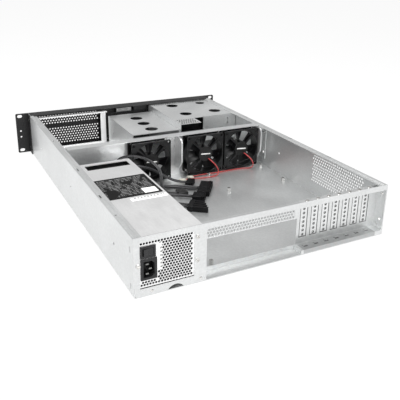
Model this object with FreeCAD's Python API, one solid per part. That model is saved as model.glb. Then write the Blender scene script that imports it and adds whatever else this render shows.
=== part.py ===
"""Open 2U rackmount server case with its supply, fans and drive cages.

Millimetres, +Z up. The origin is on the underside of the base tray, in the middle of the
430 by 650 body. The front of the case looks along -Y and the rear along +Y. The power
supply stands on the +X side.
"""
import FreeCAD
import Part
import math
import os

V = FreeCAD.Vector

# Body
BODY_W = 430.0
BODY_D = 650.0
BODY_H = 88.0
TRAY_T = 1.2
PANEL_T = 1.0
BEND_R = 0.8
FRONT_Y = -BODY_D / 2
REAR_Y = BODY_D / 2
SIDE_X = BODY_W / 2
WALL_IN = SIDE_X - TRAY_T
FLOOR_Z = TRAY_T
FIT = 0.2

# Main lines: the fan wall follows the front, the supply follows the wall, the rear and +X side
FAN_WALL_FROM_FRONT = 265.0
FAN_WALL_Y = FRONT_Y + FAN_WALL_FROM_FRONT
PSU_W = 100.0
PSU_SIDE_GAP = 1.8
PSU_X1 = WALL_IN - PSU_SIDE_GAP
PSU_X0 = PSU_X1 - PSU_W
PSU_FROM_WALL = 88.0
PSU_Y0 = FAN_WALL_Y + PSU_FROM_WALL
PSU_Z0 = 13.2
PSU_TOP_GAP = 4.8
PSU_TOP = BODY_H - PSU_TOP_GAP
PSU_H = PSU_TOP - PSU_Z0

# Folded top edge of each side wall: a ledge, a small step and a lower lip
EDGE_LEDGE = 6.0
EDGE_STEP = 1.6
EDGE_LIP = 5.5
EDGE_W = EDGE_LEDGE + EDGE_STEP + EDGE_LIP
LID_SLOT_L = 12.0
LID_SLOT_W = 2.2
LID_SLOTS_Y = (FRONT_Y + 63.0, FRONT_Y + 215.0, REAR_Y - 265.0, REAR_Y - 145.0)
LID_HOLE_R = 1.6
LID_HOLE_Y = REAR_Y - 75.0

# Holes in the side walls
RAIL_HOLE_R = 2.2
RAIL_HOLE_Z = BODY_H / 2
RAIL_HOLE_FRONT = 119.0
RAIL_HOLE_REAR = 77.0
RAIL_HOLE_Y = FRONT_Y + RAIL_HOLE_FRONT
RAIL_HOLE_COUNT = 3
RAIL_HOLE_PITCH = (BODY_D - RAIL_HOLE_FRONT - RAIL_HOLE_REAR) / (RAIL_HOLE_COUNT - 1)
TAB_SLOT_L = 9.0
TAB_SLOT_W = 1.6
TAB_SLOT_Y = REAR_Y - 12.0
TAB_SLOTS_Z = (13.0, BODY_H - 21.0)

# Perforated field of the right side wall
SIDE_VENT_Y = REAR_Y - 189.0
SIDE_VENT_Z = 27.0
SIDE_VENT_COLS = 13
SIDE_VENT_TOP = BODY_H - 14.0
SIDE_VENT_PITCH = 10.4
SIDE_VENT_HOLE = 6.4

# Rear panel: the supply bay is flush, the rest stands back under a shelf
RECESS = 20.0
RECESS_Y = REAR_Y - RECESS
SHELF_Z = BODY_H - 8.0
JOG_X = PSU_X0 - 2.5
BAY_X0 = PSU_X0 + 16.0
BAY_X1 = PSU_X1 - 5.5
BAY_Z0 = PSU_Z0 - 1.0
BAY_Z1 = BODY_H - 8.5
ARCH_X = PSU_X0 + 43.5
ARCH_R = 14.0
ARCH_TOP = 7.2
SLOT_COUNT = 7
SLOT_PITCH = 20.32
SLOT_SIDE = 24.88
SLOT_X0 = -WALL_IN + SLOT_SIDE + (SLOT_COUNT - 1) * SLOT_PITCH
WINDOW_W = 158.75
WINDOW_H = 44.45
WINDOW_X0 = SLOT_X0 + 12.5
WINDOW_Z0 = 8.0
VENT_PITCH = 5.2
VENT_HOLE = 3.4
VENT_EDGE = 4.0
VENT_X0 = WINDOW_X0 + 7.0
VENT_X1 = JOG_X - 8.5
VENT_Z0 = WINDOW_Z0 + WINDOW_H + 5.35
LEDGE_Z = 8.0
LEDGE_X = WINDOW_X0 + 2.5
LEDGE_HOLE_R = 1.2
LEDGE_HOLES_X = PSU_X0 - 48.0
LEDGE_HOLES_Y = (REAR_Y - 16.0, REAR_Y - 10.0, REAR_Y - 4.0)
SIDE_TAB_D = 12.0
REAR_TAB_Z0 = 16.0
REAR_TAB_Z1 = BODY_H - 14.0

# Expansion slots and their low covers
SLOT_W = 13.0
SLOT_Z0 = 19.5
SLOT_Z1 = SHELF_Z - 3.0
COVER_T = 0.8
COVER_W = 18.4
COVER_GAP = 0.5
COVER_TAB_D = 12.0
COVER_TONGUE_W = 10.2
COVER_TIP_Z = 2.0
COVER_HOLES = 8
COVER_HOLE_R = 1.6
LANCE_W = 6.0
LANCE_R = 1.6
LANCE_Y = REAR_Y - 11.0

# Screws
SCREW_R = 1.45
SCREW_HOLE_R = 1.65
SCREW_HEAD_R = 3.0
SCREW_HEAD_H = 2.0
DRIVE_W = 0.8
DRIVE_L = 3.4
DRIVE_D = 0.9

# Rivets
REAR_RIVETS_Z = (24.0, BODY_H - 18.0)
WALL_RIVETS_Z = (30.0, BODY_H - 14.0)
SILL_RIVETS_X = (PSU_X1 - 22.0, PSU_X0 + 6.5)
SILL_RIVET_Z = 6.4

# Front panel, ears and the intake frame behind the panel
FRONT_T = 1.5
FRONT_FLANGE_D = 27.0
EAR_OUT = 26.3
EAR_SPAN = BODY_W + 2 * EAR_OUT
EAR_T = 2.0
EAR_WRAP_D = 24.0
EAR_CORNER_R = 3.0
RACK_PITCH_X = EAR_SPAN - 17.5
RACK_PITCH_Z = BODY_H - 11.8
RACK_SLOT_L = 10.3
RACK_SLOT_W = 6.8
EAR_HOLE_R = 1.9
EAR_HOLES_Z = (BODY_H / 2 - 8.0, BODY_H / 2 + 5.0)
EAR_SCREWS_Z = (14.0, BODY_H - 14.0)
MESH_PITCH = 10.8
MESH_SIDE = 14.0
MESH_HOLE = 7.2
MESH_LOW_Z = 15.0
MESH_BAND = 15.0
MESH_HIGH_Z = BODY_H - 25.0
MESH_HIGH_ROWS = 2
INTAKE_EDGE = 12.8
INTAKE_Y = FRONT_Y + 18.0
INTAKE_TOP = BODY_H - 7.0
INTAKE_LIP = 12.0
INTAKE_POST_W = 12.0
INTAKE_STILE_W = 8.8
INTAKE_SILL_Z = 9.0
INTAKE_HEAD_H = 5.0

# Drive cages
CAGE_T = 1.0
CAGE_SIDE_GAP = 1.4
CAGE_GAP = 0.4
WIDE_CAGE_W = 154.0
CAGE_SPLIT_X = -WALL_IN + CAGE_SIDE_GAP + WIDE_CAGE_W + CAGE_GAP
LOW_CAGE_W = 104.0
LOW_CAGE_Y0 = FRONT_Y + 37.0
LOW_CAGE_D = 160.0
LOW_CAGE_H = BODY_H - 16.0
WIDE_CAGE_Y0 = FRONT_Y + 20.0
WIDE_CAGE_D = 146.0
WIDE_CAGE_H = BODY_H - 3.0
WIDE_TONGUE_W = 48.0
WIDE_TONGUE_D = 38.0
CAGE_FOOT = 10.0
CAGE_HOLE_R = 13.5
CAGE_SMALL_R = 11.0
LOW_HOLES_Y = (LOW_CAGE_Y0 + 41.0, LOW_CAGE_Y0 + 86.0, LOW_CAGE_Y0 + 131.0)
WIDE_HOLES_X = (CAGE_SPLIT_X - 120.0, CAGE_SPLIT_X - 47.0)
WIDE_HOLES_Y = (WIDE_CAGE_Y0 + 33.0, WIDE_CAGE_Y0 + 109.0)
DRIVE_HOLE_R = 1.8
DRIVE_HOLES_DY = (35.0, 95.0, 125.0)
DRIVE_HOLES_Z = (12.0, 40.0)
CAGE_PLATE_W = 82.0
CAGE_PERF_PITCH = 6.4
CAGE_PERF_HOLE = 4.0

# Front bays, buttons and ports
BAY_COVER_T = 3.0
BAY_COVER_GAP = 0.3
LOW_BAY_Z0 = 4.0
LOW_BAY_Z1 = LOW_CAGE_H - 2.0
WIDE_BAY_Z0 = 3.0
WIDE_BAY_Z1 = BODY_H - 4.0
BAY_MARGIN = 2.0
BAY_BAR = 1.5
BUTTON_Z = BODY_H - 9.5
POWER_X = CAGE_SPLIT_X + 11.0
POWER_R = 4.0
RESET_X = CAGE_SPLIT_X + 24.0
RESET_R = 2.4
BUTTON_PROUD = 2.0
BUTTON_TRAVEL = 1.5
BUTTON_GAP = 0.25
BUTTON_FLANGE = 1.2
BUTTON_STEM_R = 1.2
MODULE_X0 = CAGE_SPLIT_X + 2.0
MODULE_X1 = CAGE_SPLIT_X + 34.0
MODULE_Z0 = BODY_H - 15.5
MODULE_Z1 = BODY_H - 3.0
MODULE_D = 12.0
PORT_W = 13.4
PORT_H = 5.9
PORTS_X = (CAGE_SPLIT_X + 50.0, CAGE_SPLIT_X + 70.0)
PORT_BLOCK_D = 17.0
PORT_WALL = 1.2

# Fan wall
FAN_WALL_TOP = BODY_H
FAN_WALL_FLANGE = 17.0
FAN_WALL_FOOT = 12.0
FAN_WALL_END = 30.0
FAN_WALL_END_Z0 = 16.0

# Case fans
FAN_ROOM = 8.0
FAN_SIZE = BODY_H - FAN_ROOM
FAN_DEPTH = 25.0
FAN_DUCT_R = FAN_SIZE / 2 - 1.8
FAN_TUBE_R = FAN_SIZE / 2 - 0.4
FAN_FLANGE_T = 3.6
FAN_HOLE_PITCH = FAN_SIZE - 8.5
FAN_HOLE_R = 2.15
FAN_CENTRE_Z = FAN_SIZE / 2 + 5.0
FAN_SIDE = 16.8
FAN_GAP = 3.5
FAN_GUSSET_GAPS = (18.0, 18.5)
FAN_1_X = -WALL_IN + FAN_SIDE + FAN_SIZE / 2
FAN_2_X = FAN_1_X + FAN_SIZE + FAN_GAP
GUSSET_MIDDLE_X = FAN_2_X + FAN_SIZE / 2 + FAN_GUSSET_GAPS[0]
FAN_3_X = GUSSET_MIDDLE_X + FAN_GUSSET_GAPS[1] + FAN_SIZE / 2
FAN_XS = (FAN_1_X, FAN_2_X, FAN_3_X)
FAN_HUB_R = 15.0
FAN_STRUT_W = 3.4
FAN_STRUT_T = 3.0
FAN_BLADES = 7
FAN_TIP_GAP = 1.0
BLADE_T = 1.3
BLADE_ROOT_ANGLE = 40.0
BLADE_TIP_ANGLE = 24.0
ROTOR_GAP = 1.0
SHAFT_R = 1.5
SHAFT_CLEAR = 0.08
SHAFT_L = 2.6

# Gussets beside the fans
GUSSET_T = 1.2
GUSSET_RIM_W = 3.0
GUSSET_RIM_T = 3.2
GUSSET_D = 33.0
GUSSET_Z0 = 20.0
GUSSET_Z1 = BODY_H - 3.0
GUSSET_CORNER_R = 9.0
GUSSET_CHAMFER_Y = 14.0
GUSSET_CHAMFER_Z = 17.0
GUSSET_FOOT = 11.0
GUSSET_GAP = 1.0

# Power supply
PSU_T = 1.0
PSU_OUTLET_X = PSU_X0 + 8.0
PSU_OUTLET_W = PSU_W - 26.0
PSU_OUTLET_Y = 9.0
PSU_OUTLET_L = 22.0
GRILLE_X0 = PSU_X0 + 20.0
GRILLE_X1 = PSU_X1 - 38.0
GRILLE_Z0 = PSU_Z0 + 4.8
GRILLE_Z1 = PSU_TOP - 6.2
GRILLE_PITCH = 6.0
GRILLE_HOLE = 4.2
PSU_FAN = 0.5 * PSU_H + 0.45 * PSU_W - 20.0
PSU_FAN_DEPTH = 20.0
PSU_FAN_DUCT_R = PSU_FAN / 2 - 1.5
PSU_FAN_HUB_R = 12.5
PSU_FAN_X = PSU_X0 + 2.0 + PSU_FAN / 2
PSU_RAIL_W = 14.0
PSU_RAIL_FOOT = 9.0
PSU_RAILS_Y = (PSU_Y0 + 32.0, REAR_Y - 95.0)
PSU_SCREW_X0 = PSU_X0 + 11.5
PSU_SCREW_X1 = PSU_X1 - 3.0
PSU_SCREWS = ((PSU_SCREW_X1, PSU_Z0 + 33.8), (PSU_SCREW_X0, PSU_TOP - 12.2), (PSU_SCREW_X0, PSU_Z0 + 22.8))

# Mains inlet and rocker switch
INLET_X = PSU_X1 - 18.2
INLET_W = 22.6
INLET_H = 30.6
INLET_RIM = 1.6
INLET_BODY_W = 19.0
INLET_BODY_H = 27.0
INLET_BODY_D = 19.0
INLET_CAVITY_W = 15.6
INLET_CAVITY_H = 23.6
INLET_CAVITY_D = 15.5
INLET_CHAMFER = 4.2
PIN_W = 2.0
PIN_H = 4.0
PIN_L = 14.0
PIN_SPREAD = 7.0
PIN_OFFSET = 2.1
SWITCH_X = PSU_X1 - 17.2
SWITCH_W = 21.4
SWITCH_H = 17.4
SWITCH_RIM = 1.6
MAINS_GAP = 1.2
MAINS_SHARE = 6.0 / 13.0
MAINS_FREE = PSU_H - SWITCH_H - INLET_H - MAINS_GAP
SWITCH_Z = PSU_TOP - MAINS_FREE * MAINS_SHARE - SWITCH_H / 2
INLET_Z = SWITCH_Z - SWITCH_H / 2 - MAINS_GAP - INLET_H / 2
SWITCH_BODY_W = 18.0
SWITCH_BODY_H = 14.0
SWITCH_BODY_D = 16.0
ROCKER_W = 14.0
ROCKER_H = 10.0
ROCKER_GAP = 0.3
ROCKER_TILT = 8.0
ROCKER_PIN_R = 1.1
ROCKER_PIN_CLEAR = 0.08
ROCKER_PIN_L = 1.2
ROCKER_DEPTH = 5.0
ROCKER_AXIS_IN = 1.4
ROCKER_BEND = 1.6

# Standoffs for the main board
STANDOFF_H = 6.5
STANDOFF_AF = 6.0
STANDOFF_BORE_R = 1.25
STANDOFF_XS = (-WALL_IN + 15.3, -WALL_IN + 139.76)
STANDOFF_YS = (FAN_WALL_Y + 37.4, FAN_WALL_Y + 122.5)
REAR_STANDOFF_XS = (STANDOFF_XS[0], STANDOFF_XS[1], -WALL_IN + 297.24)
REAR_STANDOFF_Y = RECESS_Y - 15.2

# Cables: limp bundles of wires
LOOM_R = 3.8
MID_LOOM_R = 3.0
THIN_LOOM_R = 2.6
LEAD_R = 1.2
ARC_SHARE = 0.45
CABLE_LIFT = 0.3
EXITS = {
    "loom_main": (3 / 19, 3 / 14),
    "loom_loop": (49 / 57, 9 / 28),
    "loom_board": (23 / 57, 1 / 2),
    "loom_aux": (13 / 19, 3 / 4),
    "loom_drive": (13 / 57, 6 / 7),
}

# Plugs: length, width, height and number of ribs; a plug lies on its lip
PLUG_MAIN = (23.0, 52.0, 10.0, 12)
PLUG_BOARD = (23.0, 22.0, 10.0, 4)
PLUG_DRIVE = (18.0, 21.0, 6.0, 4)
PLUG_LOOP = (14.0, 24.0, 9.0, 5)
PLUG_FAN = (13.0, 8.0, 3.2, 3)
PLUG_LIP = 0.6
TINES = 4
TINE_W = 6.0
TINE_PITCH = 8.2
TINE_L = 28.0
TINE_STEP = 7.0
TINE_H = 9.0
TINE_BASE = 9.0
GROMMET_X0 = PSU_X0 + 1.0
GROMMET_X1 = PSU_X1 - 42.0
GROMMET_Z0 = PSU_Z0 + 2.8
GROMMET_Z1 = PSU_TOP - 11.2
GROMMET_T = 3.0
GROMMET_RIM = 4.0
GROMMET_Y = PSU_Y0 - GROMMET_T


def box(x0, y0, z0, x1, y1, z1):
    """Block between two corners."""
    return Part.makeBox(x1 - x0, y1 - y0, z1 - z0, V(x0, y0, z0))


def cylinder(radius, start, end):
    """Round bar between two points."""
    a = V(*start)
    b = V(*end)
    return Part.makeCylinder(radius, (b - a).Length, a, b - a)


def polygon_face(points):
    """Flat face with straight sides through 3-D points."""
    return Part.Face(Part.makePolygon(list(points) + [points[0]]))


def prism(points, direction):
    """Solid made by pushing a flat outline along a vector."""
    return polygon_face([V(*p) for p in points]).extrude(V(*direction))


def joined(shapes):
    """One clean solid from touching solids."""
    shapes = list(shapes)
    return shapes[0].fuse(shapes[1:]).removeSplitter()


def minus(shape, tools):
    """The shape with a list of tools cut away together."""
    return shape.cut(Part.makeCompound(list(tools)))


def group(shapes):
    """Separate solids kept side by side in one node."""
    return Part.makeCompound([s for shape in shapes for s in shape.Solids])


def bent_strip(points, thickness, length, radius=BEND_R):
    """Folded sheet: a centre line of (x, z) points, thickened and pushed along +Y.

    Each fold gets an inner radius, unless the turn is a small step.
    """
    pts = [V(x, 0, z) for x, z in points]
    mid_r = radius + thickness / 2
    sides = ([], [])
    previous = pts[0]
    for i in range(1, len(pts)):
        run_in = (pts[i] - pts[i - 1]).normalize()
        normal_in = V(-run_in.z, 0, run_in.x)
        if i == 1:
            for sign, side in zip((1, -1), sides):
                side.append((previous + normal_in * (sign * thickness / 2), None))
        if i == len(pts) - 1:
            for sign, side in zip((1, -1), sides):
                side.append((pts[i] + normal_in * (sign * thickness / 2), None))
            break
        run_out = (pts[i + 1] - pts[i]).normalize()
        normal_out = V(-run_out.z, 0, run_out.x)
        turn = math.acos(max(-1.0, min(1.0, run_in.dot(run_out))))
        bisector = (normal_in + normal_out).normalize()
        left_turn = run_in.cross(run_out).y < 0
        if turn < math.radians(60):
            miter = thickness / 2 / math.cos(turn / 2)
            for sign, side in zip((1, -1), sides):
                side.append((pts[i] + bisector * (sign * miter), None))
            continue
        trim = mid_r * math.tan(turn / 2)
        inward = 1 if left_turn else -1
        centre = pts[i] + bisector * (inward * mid_r / math.cos(turn / 2))
        for sign, side in zip((1, -1), sides):
            start = pts[i] - run_in * trim + normal_in * (sign * thickness / 2)
            end = pts[i] + run_out * trim + normal_out * (sign * thickness / 2)
            arc_r = mid_r - inward * sign * thickness / 2
            crown = centre - bisector * (inward * arc_r)
            side.append((start, None))
            side.append((end, crown))
    left, right = sides
    edges = []
    for side in (left, right):
        for (a, _), (b, crown) in zip(side, side[1:]):
            if crown is None:
                edges.append(Part.LineSegment(a, b).toShape())
            else:
                edges.append(Part.Arc(a, crown, b).toShape())
    edges.append(Part.LineSegment(left[0][0], right[0][0]).toShape())
    edges.append(Part.LineSegment(left[-1][0], right[-1][0]).toShape())
    wire = Part.Wire(Part.__sortEdges__(edges))
    return Part.Face(wire).extrude(V(0, length, 0))


def hex_cut(centre, across, axis, depth):
    """Six-sided punch with its corners up and down, pushed along +X, +Y or +Z."""
    radius = across / math.sqrt(3)
    points = []
    for k in range(6):
        angle = math.radians(60 * k + 30)
        u = radius * math.cos(angle)
        w = radius * math.sin(angle)
        if axis == "x":
            points.append(V(centre[0], centre[1] + u, centre[2] + w))
        elif axis == "y":
            points.append(V(centre[0] + u, centre[1], centre[2] + w))
        else:
            points.append(V(centre[0] + u, centre[1] + w, centre[2]))
    push = {"x": V(depth, 0, 0), "y": V(0, depth, 0), "z": V(0, 0, depth)}[axis]
    return polygon_face(points).extrude(push)


def rows_up_to(w0, w1, pitch):
    """Number of staggered rows whose middles fit between two levels, at least one."""
    return max(int((w1 - w0) / (pitch * math.sqrt(3) / 2)), 0) + 1


def fold_reliefs(y0, y1):
    """Corner cuts that keep a part clear of the rounded folds between floor and walls."""
    r = BEND_R + FIT
    return [box(min(a, b), y0, FLOOR_Z - 1, max(a, b), y1, FLOOR_Z + r)
            for a, b in ((WALL_IN - r, WALL_IN + 1), (-WALL_IN - 1, -WALL_IN + r))]


def staggered(u0, w0, columns, rows, pitch):
    """Places of a punched field: every other row is shifted by half a pitch."""
    step = pitch * math.sqrt(3) / 2
    places = []
    for row in range(rows):
        shift = pitch / 2 if row % 2 else 0.0
        for column in range(columns - (row % 2)):
            places.append((u0 + shift + column * pitch, w0 + row * step))
    return places


def screw(head_face, inward, length, head_r=SCREW_HEAD_R, head_h=SCREW_HEAD_H, shank_r=SCREW_R):
    """Pan-head screw whose head rests on head_face; inward points along the shank."""
    seat = V(*head_face)
    axis = V(*inward).normalize()
    top = seat - axis * head_h
    body = Part.makeCylinder(head_r, head_h, top, axis)
    shank = Part.makeCylinder(shank_r, length, seat, axis)
    side = axis.cross(V(0, 0, 1))
    if side.Length < 0.1:
        side = V(1, 0, 0)
    side.normalize()
    other = axis.cross(side)
    cuts = []
    for u, w in ((side, other), (other, side)):
        corner = top - u * (DRIVE_L / 2) - w * (DRIVE_W / 2)
        rim = [corner, corner + u * DRIVE_L, corner + u * DRIVE_L + w * DRIVE_W, corner + w * DRIVE_W]
        cuts.append(polygon_face(rim).extrude(axis * DRIVE_D))
    return joined([body, shank]).cut(joined(cuts))


def rivet(head_face, inward, radius=2.4, height=1.0):
    """Low round rivet head lying on a face."""
    seat = V(*head_face)
    axis = V(*inward).normalize()
    head = Part.makeCone(radius, radius * 0.55, height, seat, axis * -1)
    return head


def base_tray():
    """Floor and side walls folded from one sheet, with its vents, slots and holes."""
    half = TRAY_T / 2
    wall = SIDE_X - half
    top = BODY_H - half
    lip = top - EDGE_STEP
    lip_end = SIDE_X - EDGE_W
    right = [(-lip_end, lip), (-(lip_end + EDGE_LIP), lip), (-(SIDE_X - EDGE_LEDGE), top), (-wall, top)]
    left = [(-x, z) for x, z in reversed(right)]
    line = right + [(-wall, half), (wall, half)] + left
    depth = BODY_D - FRONT_T
    tray = bent_strip(line, TRAY_T, depth)
    tray.translate(V(0, FRONT_Y + FRONT_T, 0))
    cuts = []
    # The folded edges stop short of the front flange and of the rear panel
    edge_z = lip - TRAY_T
    cuts.append(box(-WALL_IN, FRONT_Y, edge_z, WALL_IN, FRONT_Y + FRONT_T + FRONT_FLANGE_D + FIT, BODY_H + 1))
    cuts.append(box(-WALL_IN, REAR_Y - PANEL_T - FIT, edge_z, WALL_IN, REAR_Y + 1, BODY_H + 1))
    for side in (1, -1):
        ledge_x = side * (SIDE_X - EDGE_LEDGE / 2 - 0.6)
        for y in LID_SLOTS_Y:
            cuts.append(box(ledge_x - LID_SLOT_W / 2, y - LID_SLOT_L / 2, top - 2,
                            ledge_x + LID_SLOT_W / 2, y + LID_SLOT_L / 2, BODY_H + 1))
        cuts.append(cylinder(LID_HOLE_R, (ledge_x, LID_HOLE_Y, top - 2), (ledge_x, LID_HOLE_Y, BODY_H + 1)))
        inner = side * (WALL_IN - 1)
        outer = side * (SIDE_X + 1)
        for k in range(RAIL_HOLE_COUNT):
            y = RAIL_HOLE_Y + k * RAIL_HOLE_PITCH
            cuts.append(cylinder(RAIL_HOLE_R, (inner, y, RAIL_HOLE_Z), (outer, y, RAIL_HOLE_Z)))
        for z in TAB_SLOTS_Z:
            cuts.append(box(min(inner, outer), TAB_SLOT_Y - TAB_SLOT_W / 2, z - TAB_SLOT_L / 2,
                            max(inner, outer), TAB_SLOT_Y + TAB_SLOT_W / 2, z + TAB_SLOT_L / 2))
        for z in EAR_SCREWS_Z:
            y = FRONT_Y + FRONT_T + (EAR_WRAP_D - FRONT_T) / 2
            cuts.append(cylinder(SCREW_HOLE_R, (inner, y, z), (outer, y, z)))
    rows = rows_up_to(SIDE_VENT_Z, SIDE_VENT_TOP, SIDE_VENT_PITCH)
    for y, z in staggered(SIDE_VENT_Y, SIDE_VENT_Z, SIDE_VENT_COLS, rows, SIDE_VENT_PITCH):
        cuts.append(hex_cut((-SIDE_X - 1, y, z), SIDE_VENT_HOLE, "x", TRAY_T + 2))
    for y in LEDGE_HOLES_Y:
        cuts.append(cylinder(LEDGE_HOLE_R, (LEDGE_HOLES_X, y, -1), (LEDGE_HOLES_X, y, FLOOR_Z + 1)))
    return minus(tray, cuts)


def slot_centres():
    """X of the middle of each expansion slot."""
    return [SLOT_X0 - k * SLOT_PITCH for k in range(SLOT_COUNT)]


def cover_screw_y():
    """Y of the screw that holds a slot cover's tab."""
    return RECESS_Y + COVER_TAB_D / 2


def rear_panel():
    """Folded rear panel: flush supply bay, recessed plate, shelf, top bar and ledge."""
    inner_y = RECESS_Y - PANEL_T
    bar_y = REAR_Y - PANEL_T
    jog_in = JOG_X + PANEL_T
    shelf_low = SHELF_Z - PANEL_T
    ledge_low = LEDGE_Z - PANEL_T
    plates = [
        box(JOG_X, bar_y, FLOOR_Z, WALL_IN, REAR_Y, BODY_H),
        box(JOG_X, inner_y, FLOOR_Z, jog_in, REAR_Y, SHELF_Z),
        box(-WALL_IN, inner_y, FLOOR_Z, jog_in, RECESS_Y, SHELF_Z),
        box(-WALL_IN, inner_y, shelf_low, jog_in, REAR_Y, SHELF_Z),
        box(-WALL_IN, bar_y, shelf_low, jog_in, REAR_Y, BODY_H),
        box(-WALL_IN, inner_y, ledge_low, LEDGE_X, REAR_Y, LEDGE_Z),
        box(-WALL_IN, bar_y, FLOOR_Z, LEDGE_X, REAR_Y, LEDGE_Z),
        box(LEDGE_X - PANEL_T, inner_y, FLOOR_Z, LEDGE_X, REAR_Y, LEDGE_Z),
        box(-WALL_IN, RECESS_Y, LEDGE_Z, -WALL_IN + PANEL_T, REAR_Y, SHELF_Z),
        box(WALL_IN - PANEL_T, bar_y - SIDE_TAB_D, REAR_TAB_Z0, WALL_IN, bar_y, REAR_TAB_Z1),
    ]
    for x in slot_centres():
        lance = cylinder(LANCE_R, (x - LANCE_W / 2, LANCE_Y, LEDGE_Z), (x + LANCE_W / 2, LANCE_Y, LEDGE_Z))
        plates.append(lance.cut(box(x - LANCE_W, 0, 0, x + LANCE_W, REAR_Y, ledge_low)))
    panel = joined(plates)
    cuts = [box(BAY_X0, bar_y - 1, BAY_Z0, BAY_X1, REAR_Y + 1, BAY_Z1)]
    cuts += fold_reliefs(inner_y - 1, REAR_Y + 1)
    cuts.append(box(WINDOW_X0, inner_y - 1, WINDOW_Z0, WINDOW_X0 + WINDOW_W, RECESS_Y + 1, WINDOW_Z0 + WINDOW_H))
    cuts.append(cylinder(ARCH_R, (ARCH_X, bar_y - 1, ARCH_TOP - ARCH_R), (ARCH_X, REAR_Y + 1, ARCH_TOP - ARCH_R)))
    for x in slot_centres():
        cuts.append(box(x - SLOT_W / 2, inner_y - 1, SLOT_Z0, x + SLOT_W / 2, RECESS_Y + 1, SLOT_Z1))
        cuts.append(cylinder(SCREW_HOLE_R, (x, cover_screw_y(), shelf_low - 1), (x, cover_screw_y(), SHELF_Z + 1)))
    columns = int((VENT_X1 - VENT_X0 - VENT_HOLE) / VENT_PITCH) + 1
    rows = rows_up_to(VENT_Z0 + VENT_HOLE, SHELF_Z - VENT_EDGE, VENT_PITCH)
    for x, z in staggered(VENT_X0 + VENT_HOLE / 2, VENT_Z0 + VENT_HOLE / 2, columns, rows, VENT_PITCH):
        cuts.append(hex_cut((x, inner_y - 1, z), VENT_HOLE, "y", PANEL_T + 2))
    for x, z in PSU_SCREWS:
        cuts.append(cylinder(SCREW_HOLE_R, (x, bar_y - 1, z), (x, REAR_Y + 1, z)))
    for z in TAB_SLOTS_Z:
        y = TAB_SLOT_Y
        for side in (1, -1):
            cuts.append(box(side * WALL_IN - 2, y - TAB_SLOT_W / 2, z - TAB_SLOT_L / 2,
                            side * WALL_IN + 2, y + TAB_SLOT_W / 2, z + TAB_SLOT_L / 2))
    return minus(panel, cuts)


def slot_cover(x):
    """Low expansion slot cover: plate, pressed-out field, tongue and screwed tab."""
    front = RECESS_Y - PANEL_T
    back = front - COVER_T
    half = COVER_W / 2
    boss = SLOT_W / 2 - COVER_GAP
    tongue = COVER_TONGUE_W / 2
    outline = [
        (x - half, back, SHELF_Z + COVER_T),
        (x - half, back, SLOT_Z0 - COVER_GAP),
        (x - tongue, back, SLOT_Z0 - COVER_GAP - (half - tongue)),
        (x - tongue, back, COVER_TIP_Z),
        (x + tongue, back, COVER_TIP_Z),
        (x + tongue, back, SLOT_Z0 - COVER_GAP - (half - tongue)),
        (x + half, back, SLOT_Z0 - COVER_GAP),
        (x + half, back, SHELF_Z + COVER_T),
    ]
    plate = prism(outline, (0, COVER_T, 0))
    field = box(x - boss, back, SLOT_Z0 + COVER_GAP, x + boss, RECESS_Y - FIT, SLOT_Z1 - COVER_GAP)
    tab = box(x - half, back, SHELF_Z, x + half, RECESS_Y + COVER_TAB_D, SHELF_Z + COVER_T)
    cover = joined([plate, field, tab])
    span = SLOT_Z1 - SLOT_Z0
    cuts = []
    for k in range(COVER_HOLES):
        z = SLOT_Z0 + span * (k + 0.5) / COVER_HOLES
        cuts.append(cylinder(COVER_HOLE_R, (x, back - 1, z), (x, RECESS_Y + 1, z)))
    y = cover_screw_y()
    cuts.append(cylinder(SCREW_HOLE_R, (x, y, SHELF_Z - 1), (x, y, SHELF_Z + COVER_T + 1)))
    return minus(cover, cuts)


def slot_cover_screws():
    """One screw for each slot cover, driven down into the shelf."""
    seat = SHELF_Z + COVER_T
    return group(screw((x, cover_screw_y(), seat), (0, 0, -1), 5.0) for x in slot_centres())


def low_cage_x1():
    """Outer face of the low cage on the intake side."""
    return CAGE_SPLIT_X + LOW_CAGE_W


def wide_cage_x():
    """Both outer faces of the wide cage."""
    x1 = CAGE_SPLIT_X - CAGE_GAP
    return x1 - WIDE_CAGE_W, x1


def bay_rectangles():
    """Front panel openings in front of the cages: (x0, z0, x1, z1)."""
    wide_x0, wide_x1 = wide_cage_x()
    middle = (WIDE_BAY_Z0 + WIDE_BAY_Z1) / 2
    return {
        "bay_cover_low": [(CAGE_SPLIT_X + BAY_MARGIN, LOW_BAY_Z0, low_cage_x1() - BAY_MARGIN, LOW_BAY_Z1)],
        "bay_covers_wide": [
            (wide_x0 + BAY_MARGIN, WIDE_BAY_Z0, wide_x1 - BAY_MARGIN, middle - BAY_BAR / 2),
            (wide_x0 + BAY_MARGIN, middle + BAY_BAR / 2, wide_x1 - BAY_MARGIN, WIDE_BAY_Z1),
        ],
    }


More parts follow.
